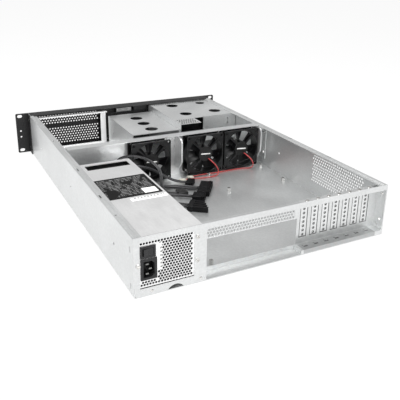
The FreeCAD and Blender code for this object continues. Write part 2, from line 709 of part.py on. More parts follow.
def front_panel():
    """Black front plate with a top flange, the intake mesh, bays and button holes."""
    inner = FRONT_Y + FRONT_T
    plate = box(-SIDE_X, FRONT_Y, 0, SIDE_X, inner, BODY_H)
    flange = box(-WALL_IN + FIT, inner, BODY_H - FRONT_T, WALL_IN - FIT, inner + FRONT_FLANGE_D, BODY_H)
    panel = joined([plate, flange])
    cuts = []
    for x0, z0, x1, z1 in sum(bay_rectangles().values(), []):
        cuts.append(box(x0, FRONT_Y - 1, z0, x1, inner + 1, z1))
    mesh_x0 = low_cage_x1() + MESH_SIDE
    columns = int((WALL_IN - INTAKE_EDGE - mesh_x0 - MESH_HOLE) / MESH_PITCH) + 1
    low_rows = rows_up_to(MESH_LOW_Z, MESH_HIGH_Z - MESH_BAND, MESH_PITCH)
    for z0, rows in ((MESH_LOW_Z, low_rows), (MESH_HIGH_Z, MESH_HIGH_ROWS)):
        for x, z in staggered(mesh_x0 + MESH_HOLE / 2, z0, columns, rows, MESH_PITCH):
            cuts.append(hex_cut((x, FRONT_Y - 1, z), MESH_HOLE, "y", FRONT_T + 2))
    for x, radius in ((POWER_X, POWER_R), (RESET_X, RESET_R)):
        cuts.append(cylinder(radius + BUTTON_GAP, (x, FRONT_Y - 1, BUTTON_Z), (x, inner + 1, BUTTON_Z)))
    for x in PORTS_X:
        cuts.append(box(x - PORT_W / 2, FRONT_Y - 1, BUTTON_Z - PORT_H / 2,
                        x + PORT_W / 2, inner + 1, BUTTON_Z + PORT_H / 2))
    return minus(panel, cuts)


def bay_cover(rectangle):
    """Moulded blank that fills a front bay and stands behind it on a rim."""
    x0, z0, x1, z1 = rectangle
    inner = FRONT_Y + FRONT_T
    gap = BAY_COVER_GAP
    face = box(x0 + gap, FRONT_Y, z0 + gap, x1 - gap, inner + BAY_COVER_T, z1 - gap)
    hollow = box(x0 + 3, FRONT_Y + 1.8, z0 + 3, x1 - 3, inner + BAY_COVER_T + 1, z1 - 3)
    groove = box(x0 + 12, FRONT_Y - 1, (z0 + z1) / 2 - 0.6, x1 - 12, FRONT_Y + 0.6, (z0 + z1) / 2 + 0.6)
    return minus(face, [hollow, groove])


def ear(side):
    """Rack ear: a plate with two rack slots and a leg that wraps the side wall."""
    leg_t = FRONT_T
    x_in = SIDE_X
    x_out = EAR_SPAN / 2
    leg = box(x_in, FRONT_Y, 0, x_in + leg_t, FRONT_Y + EAR_WRAP_D, BODY_H)
    plate = box(x_in, FRONT_Y, 0, x_out, FRONT_Y + EAR_T, BODY_H)
    corners = [e for e in plate.Edges if abs(e.BoundBox.XMin - x_out) < 0.01 and e.BoundBox.YLength > 1]
    plate = plate.makeFillet(EAR_CORNER_R, corners)
    bracket = joined([leg, plate])
    cuts = []
    y0 = FRONT_Y - 1
    y1 = FRONT_Y + EAR_T + 1
    for row in (-1, 1):
        z = BODY_H / 2 + row * RACK_PITCH_Z / 2
        x = RACK_PITCH_X / 2
        reach = (RACK_SLOT_L - RACK_SLOT_W) / 2
        r = RACK_SLOT_W / 2
        cuts.append(joined([box(x - reach, y0, z - r, x + reach, y1, z + r),
                            cylinder(r, (x - reach, y0, z), (x - reach, y1, z)),
                            cylinder(r, (x + reach, y0, z), (x + reach, y1, z))]))
    for z in EAR_HOLES_Z:
        x = RACK_PITCH_X / 2
        cuts.append(cylinder(EAR_HOLE_R, (x, y0, z), (x, y1, z)))
    for z in EAR_SCREWS_Z:
        y = FRONT_Y + FRONT_T + (EAR_WRAP_D - FRONT_T) / 2
        cuts.append(cylinder(SCREW_HOLE_R, (x_in - 1, y, z), (x_in + leg_t + 1, y, z)))
    bracket = minus(bracket, cuts)
    if side < 0:
        bracket = bracket.mirror(V(0, 0, 0), V(1, 0, 0))
    return bracket


def ear_screws():
    """Flat-headed screws that hold the ears to the side walls."""
    y = FRONT_Y + FRONT_T + (EAR_WRAP_D - FRONT_T) / 2
    made = []
    for side in (1, -1):
        for z in EAR_SCREWS_Z:
            made.append(screw((side * (SIDE_X + FRONT_T), y, z), (-side, 0, 0), 5.0, head_h=1.2))
    return group(made)


def intake_frame():
    """Zinc frame behind the intake mesh: sill, post, head and a folded lip."""
    y1 = INTAKE_Y + PANEL_T
    x0 = low_cage_x1() + 0.5
    head = INTAKE_TOP - INTAKE_HEAD_H
    plate = box(x0, INTAKE_Y, FLOOR_Z, WALL_IN, y1, INTAKE_TOP)
    lip = box(x0, INTAKE_Y, INTAKE_TOP - PANEL_T, WALL_IN - EDGE_W, y1 + INTAKE_LIP, INTAKE_TOP)
    foot = box(x0, INTAKE_Y, FLOOR_Z, WALL_IN, y1 + INTAKE_LIP, FLOOR_Z + PANEL_T)
    opening = box(x0 + INTAKE_POST_W, INTAKE_Y - 1, INTAKE_SILL_Z, WALL_IN - INTAKE_STILE_W, y1 + 1, head)
    return minus(joined([plate, lip, foot]), [opening] + fold_reliefs(INTAKE_Y - 1, y1 + INTAKE_LIP + 1))


def cage_shell(x0, x1, y0, depth, height, foot_sides):
    """Upturned sheet channel with feet turned outwards on the floor."""
    y1 = y0 + depth
    parts = [
        box(x0, y0, height - CAGE_T, x1, y1, height),
        box(x0, y0, FLOOR_Z, x0 + CAGE_T, y1, height),
        box(x1 - CAGE_T, y0, FLOOR_Z, x1, y1, height),
    ]
    for side in foot_sides:
        edge = x1 - CAGE_T if side > 0 else x0 + CAGE_T
        parts.append(box(min(edge, edge - side * CAGE_FOOT), y0, FLOOR_Z,
                         max(edge, edge - side * CAGE_FOOT), y1, FLOOR_Z + CAGE_T))
    return joined(parts)


def drive_holes(x0, x1, y0):
    """Screw holes for drives, through both sides of a cage."""
    cuts = []
    for dy in DRIVE_HOLES_DY:
        for z in DRIVE_HOLES_Z:
            cuts.append(cylinder(DRIVE_HOLE_R, (x0 - 1, y0 + dy, z), (x1 + 1, y0 + dy, z)))
    return cuts


def low_cage():
    """Low cage beside the intake, with three round openings in its top."""
    x0 = CAGE_SPLIT_X
    x1 = low_cage_x1()
    shell = cage_shell(x0, x1, LOW_CAGE_Y0, LOW_CAGE_D, LOW_CAGE_H, (1, -1))
    cuts = drive_holes(x0, x1, LOW_CAGE_Y0)
    middle = (x0 + x1) / 2
    for y in LOW_HOLES_Y:
        cuts.append(cylinder(CAGE_HOLE_R, (middle, y, LOW_CAGE_H - 5), (middle, y, LOW_CAGE_H + 1)))
    return minus(shell, cuts)


def wide_cage():
    """Wide cage: a tall channel with a rear tongue, a part-width rear plate and vents."""
    x0, x1 = wide_cage_x()
    y1 = WIDE_CAGE_Y0 + WIDE_CAGE_D
    shell = cage_shell(x0, x1, WIDE_CAGE_Y0, WIDE_CAGE_D, WIDE_CAGE_H, (1, -1))
    tongue = box(x1 - WIDE_TONGUE_W, y1, WIDE_CAGE_H - CAGE_T, x1, y1 + WIDE_TONGUE_D, WIDE_CAGE_H)
    cheek = box(x1 - CAGE_T, y1, FLOOR_Z, x1, y1 + WIDE_TONGUE_D, WIDE_CAGE_H)
    rear = box(x0, y1 - CAGE_T, WIDE_CAGE_H / 3, x0 + CAGE_PLATE_W, y1, WIDE_CAGE_H)
    shell = joined([shell, tongue, cheek, rear])
    cuts = drive_holes(x0, x1, WIDE_CAGE_Y0)
    for x in WIDE_HOLES_X:
        for y in WIDE_HOLES_Y:
            small = x == min(WIDE_HOLES_X) and y == min(WIDE_HOLES_Y)
            radius = CAGE_SMALL_R if small else CAGE_HOLE_R
            cuts.append(cylinder(radius, (x, y, WIDE_CAGE_H - 5), (x, y, WIDE_CAGE_H + 1)))
    columns = int((WIDE_TONGUE_W - 8) / CAGE_PERF_PITCH)
    rows = int((WIDE_TONGUE_D - 8) / (CAGE_PERF_PITCH * math.sqrt(3) / 2))
    for x, y in staggered(x1 - WIDE_TONGUE_W + 6, y1 + 6, columns, rows, CAGE_PERF_PITCH):
        cuts.append(hex_cut((x, y, WIDE_CAGE_H - 3), CAGE_PERF_HOLE, "z", 5))
    for dz in (10.0, 20.0):
        cuts.append(cylinder(DRIVE_HOLE_R, (x0 + 20, y1 - 5, WIDE_CAGE_H - dz), (x0 + 20, y1 + 1, WIDE_CAGE_H - dz)))
    return minus(shell, cuts)


def button(x, radius):
    """Push button: a cap, a stop flange and a stem that runs in the module."""
    inner = FRONT_Y + FRONT_T
    cap = cylinder(radius, (x, FRONT_Y - BUTTON_PROUD, BUTTON_Z), (x, inner + FIT, BUTTON_Z))
    flange = cylinder(radius + BUTTON_FLANGE, (x, inner + FIT, BUTTON_Z), (x, inner + FIT + 1.0, BUTTON_Z))
    stem = cylinder(BUTTON_STEM_R, (x, inner, BUTTON_Z), (x, inner + 7.0, BUTTON_Z))
    cap = cap.makeFillet(0.5, [e for e in cap.Edges if abs(e.CenterOfMass.y - FRONT_Y + BUTTON_PROUD) < 0.01])
    return joined([cap, flange, stem])


def button_module():
    """Block behind the panel that guides the two buttons."""
    inner = FRONT_Y + FRONT_T
    back = inner + MODULE_D
    block = box(MODULE_X0, inner, MODULE_Z0, MODULE_X1, back, MODULE_Z1)
    cuts = []
    room = FIT + 1.0 + BUTTON_TRAVEL + 0.5
    for x, radius in ((POWER_X, POWER_R), (RESET_X, RESET_R)):
        cuts.append(cylinder(radius + BUTTON_FLANGE + BUTTON_GAP, (x, inner - 1, BUTTON_Z), (x, inner + room, BUTTON_Z)))
        cuts.append(cylinder(BUTTON_STEM_R + SHAFT_CLEAR, (x, inner, BUTTON_Z), (x, back - 1.0, BUTTON_Z)))
    return minus(block, cuts)


def port_block():
    """Twin data ports: two open metal sleeves on a common back."""
    inner = FRONT_Y + FRONT_T
    back = inner + PORT_BLOCK_D
    x0 = min(PORTS_X) - PORT_W / 2 - PORT_WALL
    x1 = max(PORTS_X) + PORT_W / 2 + PORT_WALL
    block = box(x0, inner, BUTTON_Z - PORT_H / 2 - PORT_WALL, x1, back, BUTTON_Z + PORT_H / 2 + PORT_WALL)
    cuts = []
    for x in PORTS_X:
        z0 = BUTTON_Z - PORT_H / 2
        z1 = BUTTON_Z + PORT_H / 2
        sleeve = box(x - PORT_W / 2, inner - 1, z0, x + PORT_W / 2, back - PORT_WALL, z1)
        tongue = box(x - PORT_W / 2 + 1, inner + 2, BUTTON_Z + 0.4, x + PORT_W / 2 - 1, back, BUTTON_Z + 2.2)
        cuts.append(sleeve.cut(tongue))
    return minus(block, cuts)


def fan_corners():
    """Offsets of a case fan's four screw holes from its middle."""
    half = FAN_HOLE_PITCH / 2
    return [(sx * half, sz * half) for sx in (-1, 1) for sz in (-1, 1)]


def fan_wall():
    """Cross wall that carries the fans: top flange, foot, end tabs and round openings."""
    y0 = FAN_WALL_Y - PANEL_T
    parts = [
        box(-WALL_IN, y0, FLOOR_Z, WALL_IN, FAN_WALL_Y, FAN_WALL_TOP - EDGE_STEP - TRAY_T - FIT),
        box(-WALL_IN + EDGE_W, y0, FLOOR_Z, WALL_IN - EDGE_W, FAN_WALL_Y, FAN_WALL_TOP),
        box(-WALL_IN + EDGE_W, y0, FAN_WALL_TOP - PANEL_T, WALL_IN - EDGE_W,
            FAN_WALL_Y + FAN_WALL_FLANGE, FAN_WALL_TOP),
        box(-WALL_IN, y0 - FAN_WALL_FOOT, FLOOR_Z, WALL_IN, y0, FLOOR_Z + PANEL_T),
    ]
    tab_top = FAN_WALL_TOP - 2 * EDGE_STEP - TRAY_T - FIT
    for side in (1, -1):
        a = side * WALL_IN
        b = side * (WALL_IN - PANEL_T)
        parts.append(box(min(a, b), FAN_WALL_Y, FAN_WALL_END_Z0, max(a, b), FAN_WALL_Y + FAN_WALL_END, tab_top))
    wall = joined(parts)
    cuts = fold_reliefs(y0 - FAN_WALL_FOOT - 1, FAN_WALL_Y + 1)
    for x in FAN_XS:
        cuts.append(cylinder(FAN_DUCT_R, (x, y0 - 1, FAN_CENTRE_Z), (x, FAN_WALL_Y + 1, FAN_CENTRE_Z)))
        for dx, dz in fan_corners():
            z = FAN_CENTRE_Z + dz
            cuts.append(cylinder(FAN_HOLE_R, (x + dx, y0 - 1, z), (x + dx, FAN_WALL_Y + 1, z)))
    return minus(wall, cuts)


def gusset(x_face, foot_dir):
    """D-shaped side plate with a thick rolled rim, riveted to the wall by its foot.

    x_face is the face of the plate that looks at the supply.
    """
    y0 = FAN_WALL_Y
    y1 = FAN_WALL_Y + GUSSET_D
    z0 = GUSSET_Z0
    z1 = GUSSET_Z1

    def outline(inset, x):
        a = inset
        r = GUSSET_CORNER_R - inset
        turn_y = y1 - GUSSET_CORNER_R
        turn_z = z1 - GUSSET_CORNER_R
        diag = r * math.sqrt(0.5)
        slope = GUSSET_CHAMFER_Z / GUSSET_CHAMFER_Y
        low_y = y1 - GUSSET_CHAMFER_Y - inset / 2
        knee_z = z0 + GUSSET_CHAMFER_Z + inset * slope / 2
        start = V(x, y0, z1 - a)
        top = V(x, turn_y, z1 - a)
        crown = V(x, turn_y + diag, turn_z + diag)
        side = V(x, y1 - a, turn_z)
        knee = V(x, y1 - a, knee_z)
        low = V(x, low_y, z0 + a)
        end = V(x, y0, z0 + a)
        edges = [Part.LineSegment(start, top).toShape(), Part.Arc(top, crown, side).toShape()]
        for p, q in ((side, knee), (knee, low), (low, end), (end, start)):
            edges.append(Part.LineSegment(p, q).toShape())
        return Part.Face(Part.Wire(edges))

    plate = outline(0.0, x_face - GUSSET_T).extrude(V(GUSSET_T, 0, 0))
    rim_x = x_face - GUSSET_RIM_T
    rim = outline(0.0, rim_x).extrude(V(GUSSET_RIM_T, 0, 0))
    rim = rim.cut(outline(GUSSET_RIM_W, rim_x - 1).extrude(V(GUSSET_RIM_T + 2, 0, 0)))
    foot_end = x_face - GUSSET_T + foot_dir * GUSSET_FOOT
    foot = box(min(x_face - GUSSET_T, foot_end), y0, z0 + 6, max(x_face, foot_end), y0 + GUSSET_T, z1 - 6)
    return joined([plate, rim, foot])


def fan_frame(x, size, depth, duct_r, hub_r, y0, z, pitch, tube_r):
    """Square fan frame with two flanges, a round duct, four struts and a motor seat.

    The duct runs along Y from y0; the struts and the seat are at its +Y end.
    """
    half = size / 2
    y1 = y0 + depth
    flanges = []
    for a, b in ((y0, y0 + FAN_FLANGE_T), (y1 - FAN_FLANGE_T, y1)):
        plate = box(x - half, a, z - half, x + half, b, z + half)
        flanges.append(plate.makeFillet(3.0, [e for e in plate.Edges if e.BoundBox.YLength > 1]))
    tube = cylinder(tube_r, (x, y0, z), (x, y1, z))
    frame = joined(flanges + [tube])
    cuts = [cylinder(duct_r, (x, y0 - 1, z), (x, y1 + 1, z))]
    for sx in (-1, 1):
        for sz in (-1, 1):
            dx = sx * pitch / 2
            dz = sz * pitch / 2
            cuts.append(cylinder(FAN_HOLE_R, (x + dx, y0 - 1, z + dz), (x + dx, y1 + 1, z + dz)))
    frame = minus(frame, cuts)
    strut_y = y1 - FAN_STRUT_T
    ring = cylinder((duct_r + tube_r) / 2, (x, strut_y, z), (x, y1, z))
    struts = []
    for angle in (45, 135):
        bar = box(-duct_r - 1, strut_y, -FAN_STRUT_W / 2, duct_r + 1, y1, FAN_STRUT_W / 2)
        bar.rotate(V(0, 0, 0), V(0, 1, 0), angle)
        bar.translate(V(x, 0, z))
        struts.append(bar.common(ring))
    seat = cylinder(hub_r + 0.5, (x, strut_y, z), (x, y1, z))
    bore = cylinder(SHAFT_R + SHAFT_CLEAR, (x, strut_y - 1, z), (x, y1 - 0.4, z))
    return joined([frame] + struts + [seat]).cut(bore)


def fan_rotor(x, depth, duct_r, hub_r, y0, z, blades):
    """Fan rotor: a hub cup, twisted blades and a short shaft into the motor seat."""
    front = y0 + 2.5
    back = y0 + depth - FAN_STRUT_T - ROTOR_GAP
    hub = cylinder(hub_r, (0, front, 0), (0, back, 0))
    hub = hub.makeFillet(1.5, [e for e in hub.Edges if abs(e.CenterOfMass.y - front) < 0.01 and e.Closed])
    shaft = cylinder(SHAFT_R, (0, back - 1, 0), (0, back + ROTOR_GAP + SHAFT_L - 0.6, 0))
    middle = (front + back) / 2
    chord = back - front - 2.0
    tip = duct_r - FAN_TIP_GAP

    def section(radius, angle, length):
        a = math.radians(angle)
        along = V(math.sin(a), math.cos(a), 0)
        across = V(math.cos(a), -math.sin(a), 0)
        centre = V(0, middle, radius)
        p = along * (length / 2)
        q = across * (BLADE_T / 2)
        camber = across * (length * 0.08)
        ring = [centre - p - q, centre + camber - q, centre + p - q,
                centre + p + q, centre + camber + q, centre - p + q]
        return Part.makePolygon(ring + [ring[0]])

    root = section(hub_r - 1.0, BLADE_ROOT_ANGLE, chord / math.cos(math.radians(BLADE_ROOT_ANGLE)) * 0.92)
    outer = section(tip, 90 - BLADE_TIP_ANGLE, chord * 1.5)
    blade = Part.makeLoft([root, outer], True, True)
    blade = blade.common(cylinder(tip, (0, front, 0), (0, back, 0)))
    made = [hub, shaft]
    for k in range(blades):
        copy = blade.copy()
        copy.rotate(V(0, 0, 0), V(0, 1, 0), 360.0 * k / blades)
        made.append(copy)
    rotor = joined(made)
    rotor.translate(V(x, 0, z))
    return rotor


def fan_screws():
    """Screws that hold each case fan to the wall, four to a fan."""
    made = []
    for x in FAN_XS:
        for dx, dz in fan_corners():
            place = (x + dx, FAN_WALL_Y - PANEL_T, FAN_CENTRE_Z + dz)
            made.append(screw(place, (0, 1, 0), 8.0, head_r=3.6, shank_r=FAN_HOLE_R - 0.15))
    return group(made)


def psu_ends():
    """Inner and outer Y of the supply's front and rear plates."""
    return PSU_Y0, REAR_Y - PANEL_T


def psu_case():
    """Lower half of the supply: floor, front plate and perforated rear plate."""
    y0, y1 = psu_ends()
    x0 = PSU_X0 + PSU_T
    x1 = PSU_X0 + PSU_W - PSU_T
    top = PSU_Z0 + PSU_H - PSU_T
    case = joined([
        box(x0, y0, PSU_Z0, x1, y1, PSU_Z0 + PSU_T),
        box(x0, y0, PSU_Z0, x1, y0 + PSU_T, top),
        box(x0, y1 - PSU_T, PSU_Z0, x1, y1, top),
    ])
    cuts = []
    start = y1 - PSU_T - 1
    columns = int((GRILLE_X1 - GRILLE_X0) / GRILLE_PITCH) + 1
    rows = int((GRILLE_Z1 - GRILLE_Z0) / (GRILLE_PITCH * math.sqrt(3) / 2)) + 1
    for x, z in staggered(GRILLE_X0 + GRILLE_HOLE / 2, GRILLE_Z0 + GRILLE_HOLE / 2, columns, rows, GRILLE_PITCH):
        cuts.append(hex_cut((x, start, z), GRILLE_HOLE, "y", PSU_T + 2))
    for x, z, w, h in ((INLET_X, INLET_Z, INLET_BODY_W, INLET_BODY_H),
                       (SWITCH_X, SWITCH_Z, SWITCH_BODY_W, SWITCH_BODY_H)):
        cuts.append(box(x - w / 2 - FIT, start, z - h / 2 - FIT, x + w / 2 + FIT, y1 + 1, z + h / 2 + FIT))
    for x, z in PSU_SCREWS:
        cuts.append(cylinder(SCREW_HOLE_R, (x, start, z), (x, y1 + 1, z)))
    rim = GROMMET_RIM
    hole = box(GROMMET_X0 + rim, y0 - 1, GROMMET_Z0 + rim, GROMMET_X1 - rim, y0 + PSU_T + 1, GROMMET_Z1 - rim)
    cuts.append(hole)
    return minus(case, cuts)


def psu_cover():
    """Upper half of the supply: top and two sides, with an air outlet at its front."""
    y0, y1 = psu_ends()
    x1 = PSU_X0 + PSU_W
    top = PSU_Z0 + PSU_H
    cover = joined([
        box(PSU_X0, y0, top - PSU_T, x1, y1, top),
        box(PSU_X0, y0, PSU_Z0, PSU_X0 + PSU_T, y1, top),
        box(x1 - PSU_T, y0, PSU_Z0, x1, y1, top),
    ])
    outlet = box(PSU_OUTLET_X, y0 + PSU_OUTLET_Y, top - PSU_T - 1,
                 PSU_OUTLET_X + PSU_OUTLET_W, y0 + PSU_OUTLET_Y + PSU_OUTLET_L, top + 1)
    return minus(cover, [outlet])


def psu_rail(y):
    """Hat-shaped rail across the floor that the supply stands on."""
    x0 = PSU_X0
    x1 = PSU_X0 + PSU_W
    half = PSU_RAIL_W / 2
    z1 = PSU_Z0
    parts = [box(x0, y - half, z1 - PANEL_T, x1, y + half, z1)]
    for side in (1, -1):
        a = y + side * half
        b = y + side * (half - PANEL_T)
        c = y + side * (half + PSU_RAIL_FOOT)
        parts.append(box(x0, min(a, b), FLOOR_Z, x1, max(a, b), z1))
        parts.append(box(x0, min(b, c), FLOOR_Z, x1, max(b, c), FLOOR_Z + PANEL_T))
    return joined(parts)


def psu_inlet():
    """Mains inlet: rim, body and a cavity with two cut corners."""
    y1 = REAR_Y - PANEL_T
    rim = box(INLET_X - INLET_W / 2, y1, INLET_Z - INLET_H / 2, INLET_X + INLET_W / 2, y1 + INLET_RIM,
              INLET_Z + INLET_H / 2)
    body = box(INLET_X - INLET_BODY_W / 2, y1 - INLET_BODY_D, INLET_Z - INLET_BODY_H / 2,
               INLET_X + INLET_BODY_W / 2, y1 + INLET_RIM, INLET_Z + INLET_BODY_H / 2)
    w = INLET_CAVITY_W / 2
    h = INLET_CAVITY_H / 2
    c = INLET_CHAMFER
    y = y1 + INLET_RIM + 0.5
    outline = [
        (INLET_X + w, y, INLET_Z - h), (INLET_X + w, y, INLET_Z + h), (INLET_X - w + c, y, INLET_Z + h),
        (INLET_X - w, y, INLET_Z + h - c), (INLET_X - w, y, INLET_Z - h + c), (INLET_X - w + c, y, INLET_Z - h),
    ]
    cavity = prism(outline, (0, -INLET_CAVITY_D - 0.5, 0))
    return minus(joined([rim, body]), [cavity])


def psu_inlet_pins():
    """Three flat contact pins standing on the floor of the inlet cavity."""
    floor_y = REAR_Y - PANEL_T + INLET_RIM - INLET_CAVITY_D
    made = []
    for dx, dz in ((PIN_OFFSET, PIN_SPREAD), (PIN_OFFSET, -PIN_SPREAD), (-PIN_OFFSET, 0.0)):
        x = INLET_X + dx
        z = INLET_Z + dz
        made.append(box(x - PIN_H / 2, floor_y, z - PIN_W / 2, x + PIN_H / 2, floor_y + PIN_L, z + PIN_W / 2))
    return group(made)


def rocker_axis():
    """X, Y and Z of the rocker's pivot; it turns about Z."""
    return SWITCH_X, REAR_Y - PANEL_T + SWITCH_RIM - ROCKER_AXIS_IN, SWITCH_Z


def psu_switch_housing():
    """Switch housing: rim, body, a well for the rocker and two pivot holes."""
    y1 = REAR_Y - PANEL_T
    rim = box(SWITCH_X - SWITCH_W / 2, y1, SWITCH_Z - SWITCH_H / 2, SWITCH_X + SWITCH_W / 2, y1 + SWITCH_RIM,
              SWITCH_Z + SWITCH_H / 2)
    body = box(SWITCH_X - SWITCH_BODY_W / 2, y1 - SWITCH_BODY_D, SWITCH_Z - SWITCH_BODY_H / 2,
               SWITCH_X + SWITCH_BODY_W / 2, y1 + SWITCH_RIM, SWITCH_Z + SWITCH_BODY_H / 2)
    w = ROCKER_W / 2 + ROCKER_GAP + 0.5
    h = ROCKER_H / 2 + ROCKER_GAP
    well = box(SWITCH_X - w, y1 - ROCKER_DEPTH - 3, SWITCH_Z - h, SWITCH_X + w, y1 + SWITCH_RIM + 1, SWITCH_Z + h)
    x, y, z = rocker_axis()
    reach = ROCKER_H / 2 + ROCKER_PIN_L + 0.3
    pivot = cylinder(ROCKER_PIN_R + ROCKER_PIN_CLEAR, (x, y, z - reach), (x, y, z + reach))
    return minus(joined([rim, body]), [well, pivot])


def psu_switch_rocker():
    """Rocker with two faces that meet in a shallow valley, at rest on its tilted side."""
    x, y, z = rocker_axis()
    half = ROCKER_W / 2
    rise = half * math.tan(math.radians(ROCKER_TILT))
    face = y + ROCKER_BEND
    outline = [
        (x - half, face + rise, z - ROCKER_H / 2),
        (x, face, z - ROCKER_H / 2),
        (x + half, face + rise, z - ROCKER_H / 2),
        (x + half - 0.6, y - 1.2, z - ROCKER_H / 2),
        (x + 2.0, y - ROCKER_DEPTH + 1.2, z - ROCKER_H / 2),
        (x - 2.0, y - ROCKER_DEPTH + 1.2, z - ROCKER_H / 2),
        (x - half + 0.6, y - 1.2, z - ROCKER_H / 2),
    ]
    body = prism(outline, (0, 0, ROCKER_H))
    reach = ROCKER_H / 2 + ROCKER_PIN_L
    pins = cylinder(ROCKER_PIN_R, (x, y, z - reach), (x, y, z + reach))
    rocker = joined([body, pins])
    rocker.rotate(V(x, y, z), V(0, 0, 1), ROCKER_TILT)
    return rocker


def psu_screws():
    """Screws through the rear panel into the supply."""
    reach = PANEL_T + PSU_T - FIT
    return group(screw((x, REAR_Y, z), (0, -1, 0), reach) for x, z in PSU_SCREWS)


def standoff(x, y):
    """Hexagonal standoff on the floor with a threaded bore."""
    post = hex_cut((x, y, FLOOR_Z), STANDOFF_AF, "z", STANDOFF_H)
    bore = cylinder(STANDOFF_BORE_R, (x, y, FLOOR_Z + 1.0), (x, y, FLOOR_Z + STANDOFF_H + 1))
    return post.cut(bore)


def standoffs():
    """All standoffs of the board bay."""
    made = [standoff(x, y) for x in STANDOFF_XS for y in STANDOFF_YS]
    made += [standoff(x, REAR_STANDOFF_Y) for x in REAR_STANDOFF_XS]
    return group(made)


def case_rivets():
    """Rivet heads on the fan wall's end tab and the rear panel's tab."""
    made = []
    tab_x = -WALL_IN + PANEL_T
    for z in REAR_RIVETS_Z:
        made.append(rivet((tab_x, RECESS_Y + RECESS / 2 + 2, z), (-1, 0, 0)))
    for z in WALL_RIVETS_Z:
        made.append(rivet((tab_x, FAN_WALL_Y + FAN_WALL_END - 6, z), (-1, 0, 0)))
    for x in SILL_RIVETS_X:
        made.append(rivet((x, REAR_Y, SILL_RIVET_Z), (0, -1, 0)))
    return group(made)


def tube_along(points, radius, name):
    """Round tube on straight runs joined by tangent arcs, with its smallest radius printed."""
    pts = [V(*p) for p in points]
    edges = []
    length = 0.0
    radii = []
    start = pts[0]
    for i in range(1, len(pts) - 1):
        run_in = pts[i] - pts[i - 1]
        run_out = pts[i + 1] - pts[i]
        turn = run_in.getAngle(run_out)
        shorter = min(run_in.Length, run_out.Length)
        trim = ARC_SHARE * shorter
        arc_r = trim / math.tan(turn / 2)
        a = pts[i] - run_in.normalize() * trim
        b = pts[i] + run_out.normalize() * trim
        bisector = (a + b) * 0.5 - pts[i]
        centre = pts[i] + bisector.normalize() * (arc_r / math.cos(turn / 2))
        crown = centre + (pts[i] - centre).normalize() * arc_r
        edges.append(Part.LineSegment(start, a).toShape())
        edges.append(Part.Arc(a, crown, b).toShape())
        length += (a - start).Length + arc_r * turn
        radii.append(arc_r)
        start = b
    edges.append(Part.LineSegment(start, pts[-1]).toShape())
    length += (pts[-1] - start).Length
    path = Part.Wire(edges)
    ring = Part.Wire(Part.makeCircle(radius, pts[0], pts[1] - pts[0]))
    tube = path.makePipeShell([ring], True, False)
    share = tube.Volume / (math.pi * radius ** 2 * length)
    print("%-16s length %6.1f  radii %s  volume share %.4f"
          % (name, length, " ".join("%.1f" % r for r in radii), share))
    return tube


def plug_rest(plug):
    """Height of a plug's middle when its lip lies on the floor."""
    return FLOOR_Z + plug[2] / 2 + PLUG_LIP


def cable_routes():
    """Radius and route of each cable; the first and last points lie on end faces.

    Each bundle leaves the grommet at its share of width and height and runs straight to a
    first bend. Points are written from the supply's side or the first fan along X, and from
    the fan wall along Y.
    """
    main = plug_rest(PLUG_MAIN)
    drive = plug_rest(PLUG_DRIVE)
    loop = plug_rest(PLUG_LOOP)
    tine = FLOOR_Z + TINE_H / 2
    lead = FLOOR_Z + LEAD_R + CABLE_LIFT
    tip = plug_rest(PLUG_FAN)
    fan = FAN_DEPTH
    hub = FAN_CENTRE_Z - 11
    bundles = {
        "loom_main": (LOOM_R, 52, [(-6, 32, 22), (-34, 32, 13), (-60, 50, main),
                                   (-84, 68, main), (-110, 80, main), (-135, 97.7, main)]),
        "loom_board": (MID_LOOM_R, 56, [(8, 35, 41), (-18, 40, 30), (-36, 66, 18),
                                        (-54, 94, main), (-79, 108.7, main), (-107, 128.5, main)]),
        "loom_aux": (LOOM_R, 52, [(20, 28, 57), (-8, 36, 50), (-20, 66, 38),
                                  (-24, 98, 23), (-36, 126, 10), (-62, 142, tine), (-84, 159, tine)]),
        "loom_drive": (THIN_LOOM_R, 56, [(-4, 33, 67), (-34, 31, 65), (-60, 42, 54),
                                         (-72, 64, 40), (-62, 86, 16), (-74, 96, drive), (-90, 97, drive)]),
        "loom_loop": (THIN_LOOM_R, 52, [(32, 28, 38), (0, 19, 44), (-32, 32, 45),
                                        (-62, 33, 36), (-88, 34, 18), (-108, 46, loop), (-126, 61, loop)]),
    }
    leads = {
        "fan_lead_1": (LEAD_R, [(-7, fan, hub), (-7, 41, hub), (-22, 42, 16), (-20, 38, lead),
                                (-1, 29.4, lead), (27, 29.2, lead), (55, 30.4, lead),
                                (81, 29.2, lead), (99, 30, tip), (115, 32, tip)]),
        "fan_lead_2": (LEAD_R, [(77, fan, hub), (77, 41, hub), (62, 42, 16), (64, 45, lead),
                                (81, 47.5, lead), (101, 46, lead), (119, 41, tip), (135, 40.5, tip)]),
    }
    routes = {}
    for name, (radius, bend_y, points) in bundles.items():
        share_x, share_z = EXITS[name]
        x = GROMMET_X0 + (GROMMET_X1 - GROMMET_X0) * share_x
        z = GROMMET_Z0 + (GROMMET_Z1 - GROMMET_Z0) * share_z
        start = [(x, GROMMET_Y, z), (x, FAN_WALL_Y + bend_y, z)]
        routes[name] = (radius, start + [(PSU_X0 + px, FAN_WALL_Y + py, pz) for px, py, pz in points])
    for name, (radius, points) in leads.items():
        routes[name] = (radius, [(FAN_XS[0] + px, FAN_WALL_Y + py, pz) for px, py, pz in points])
    return routes


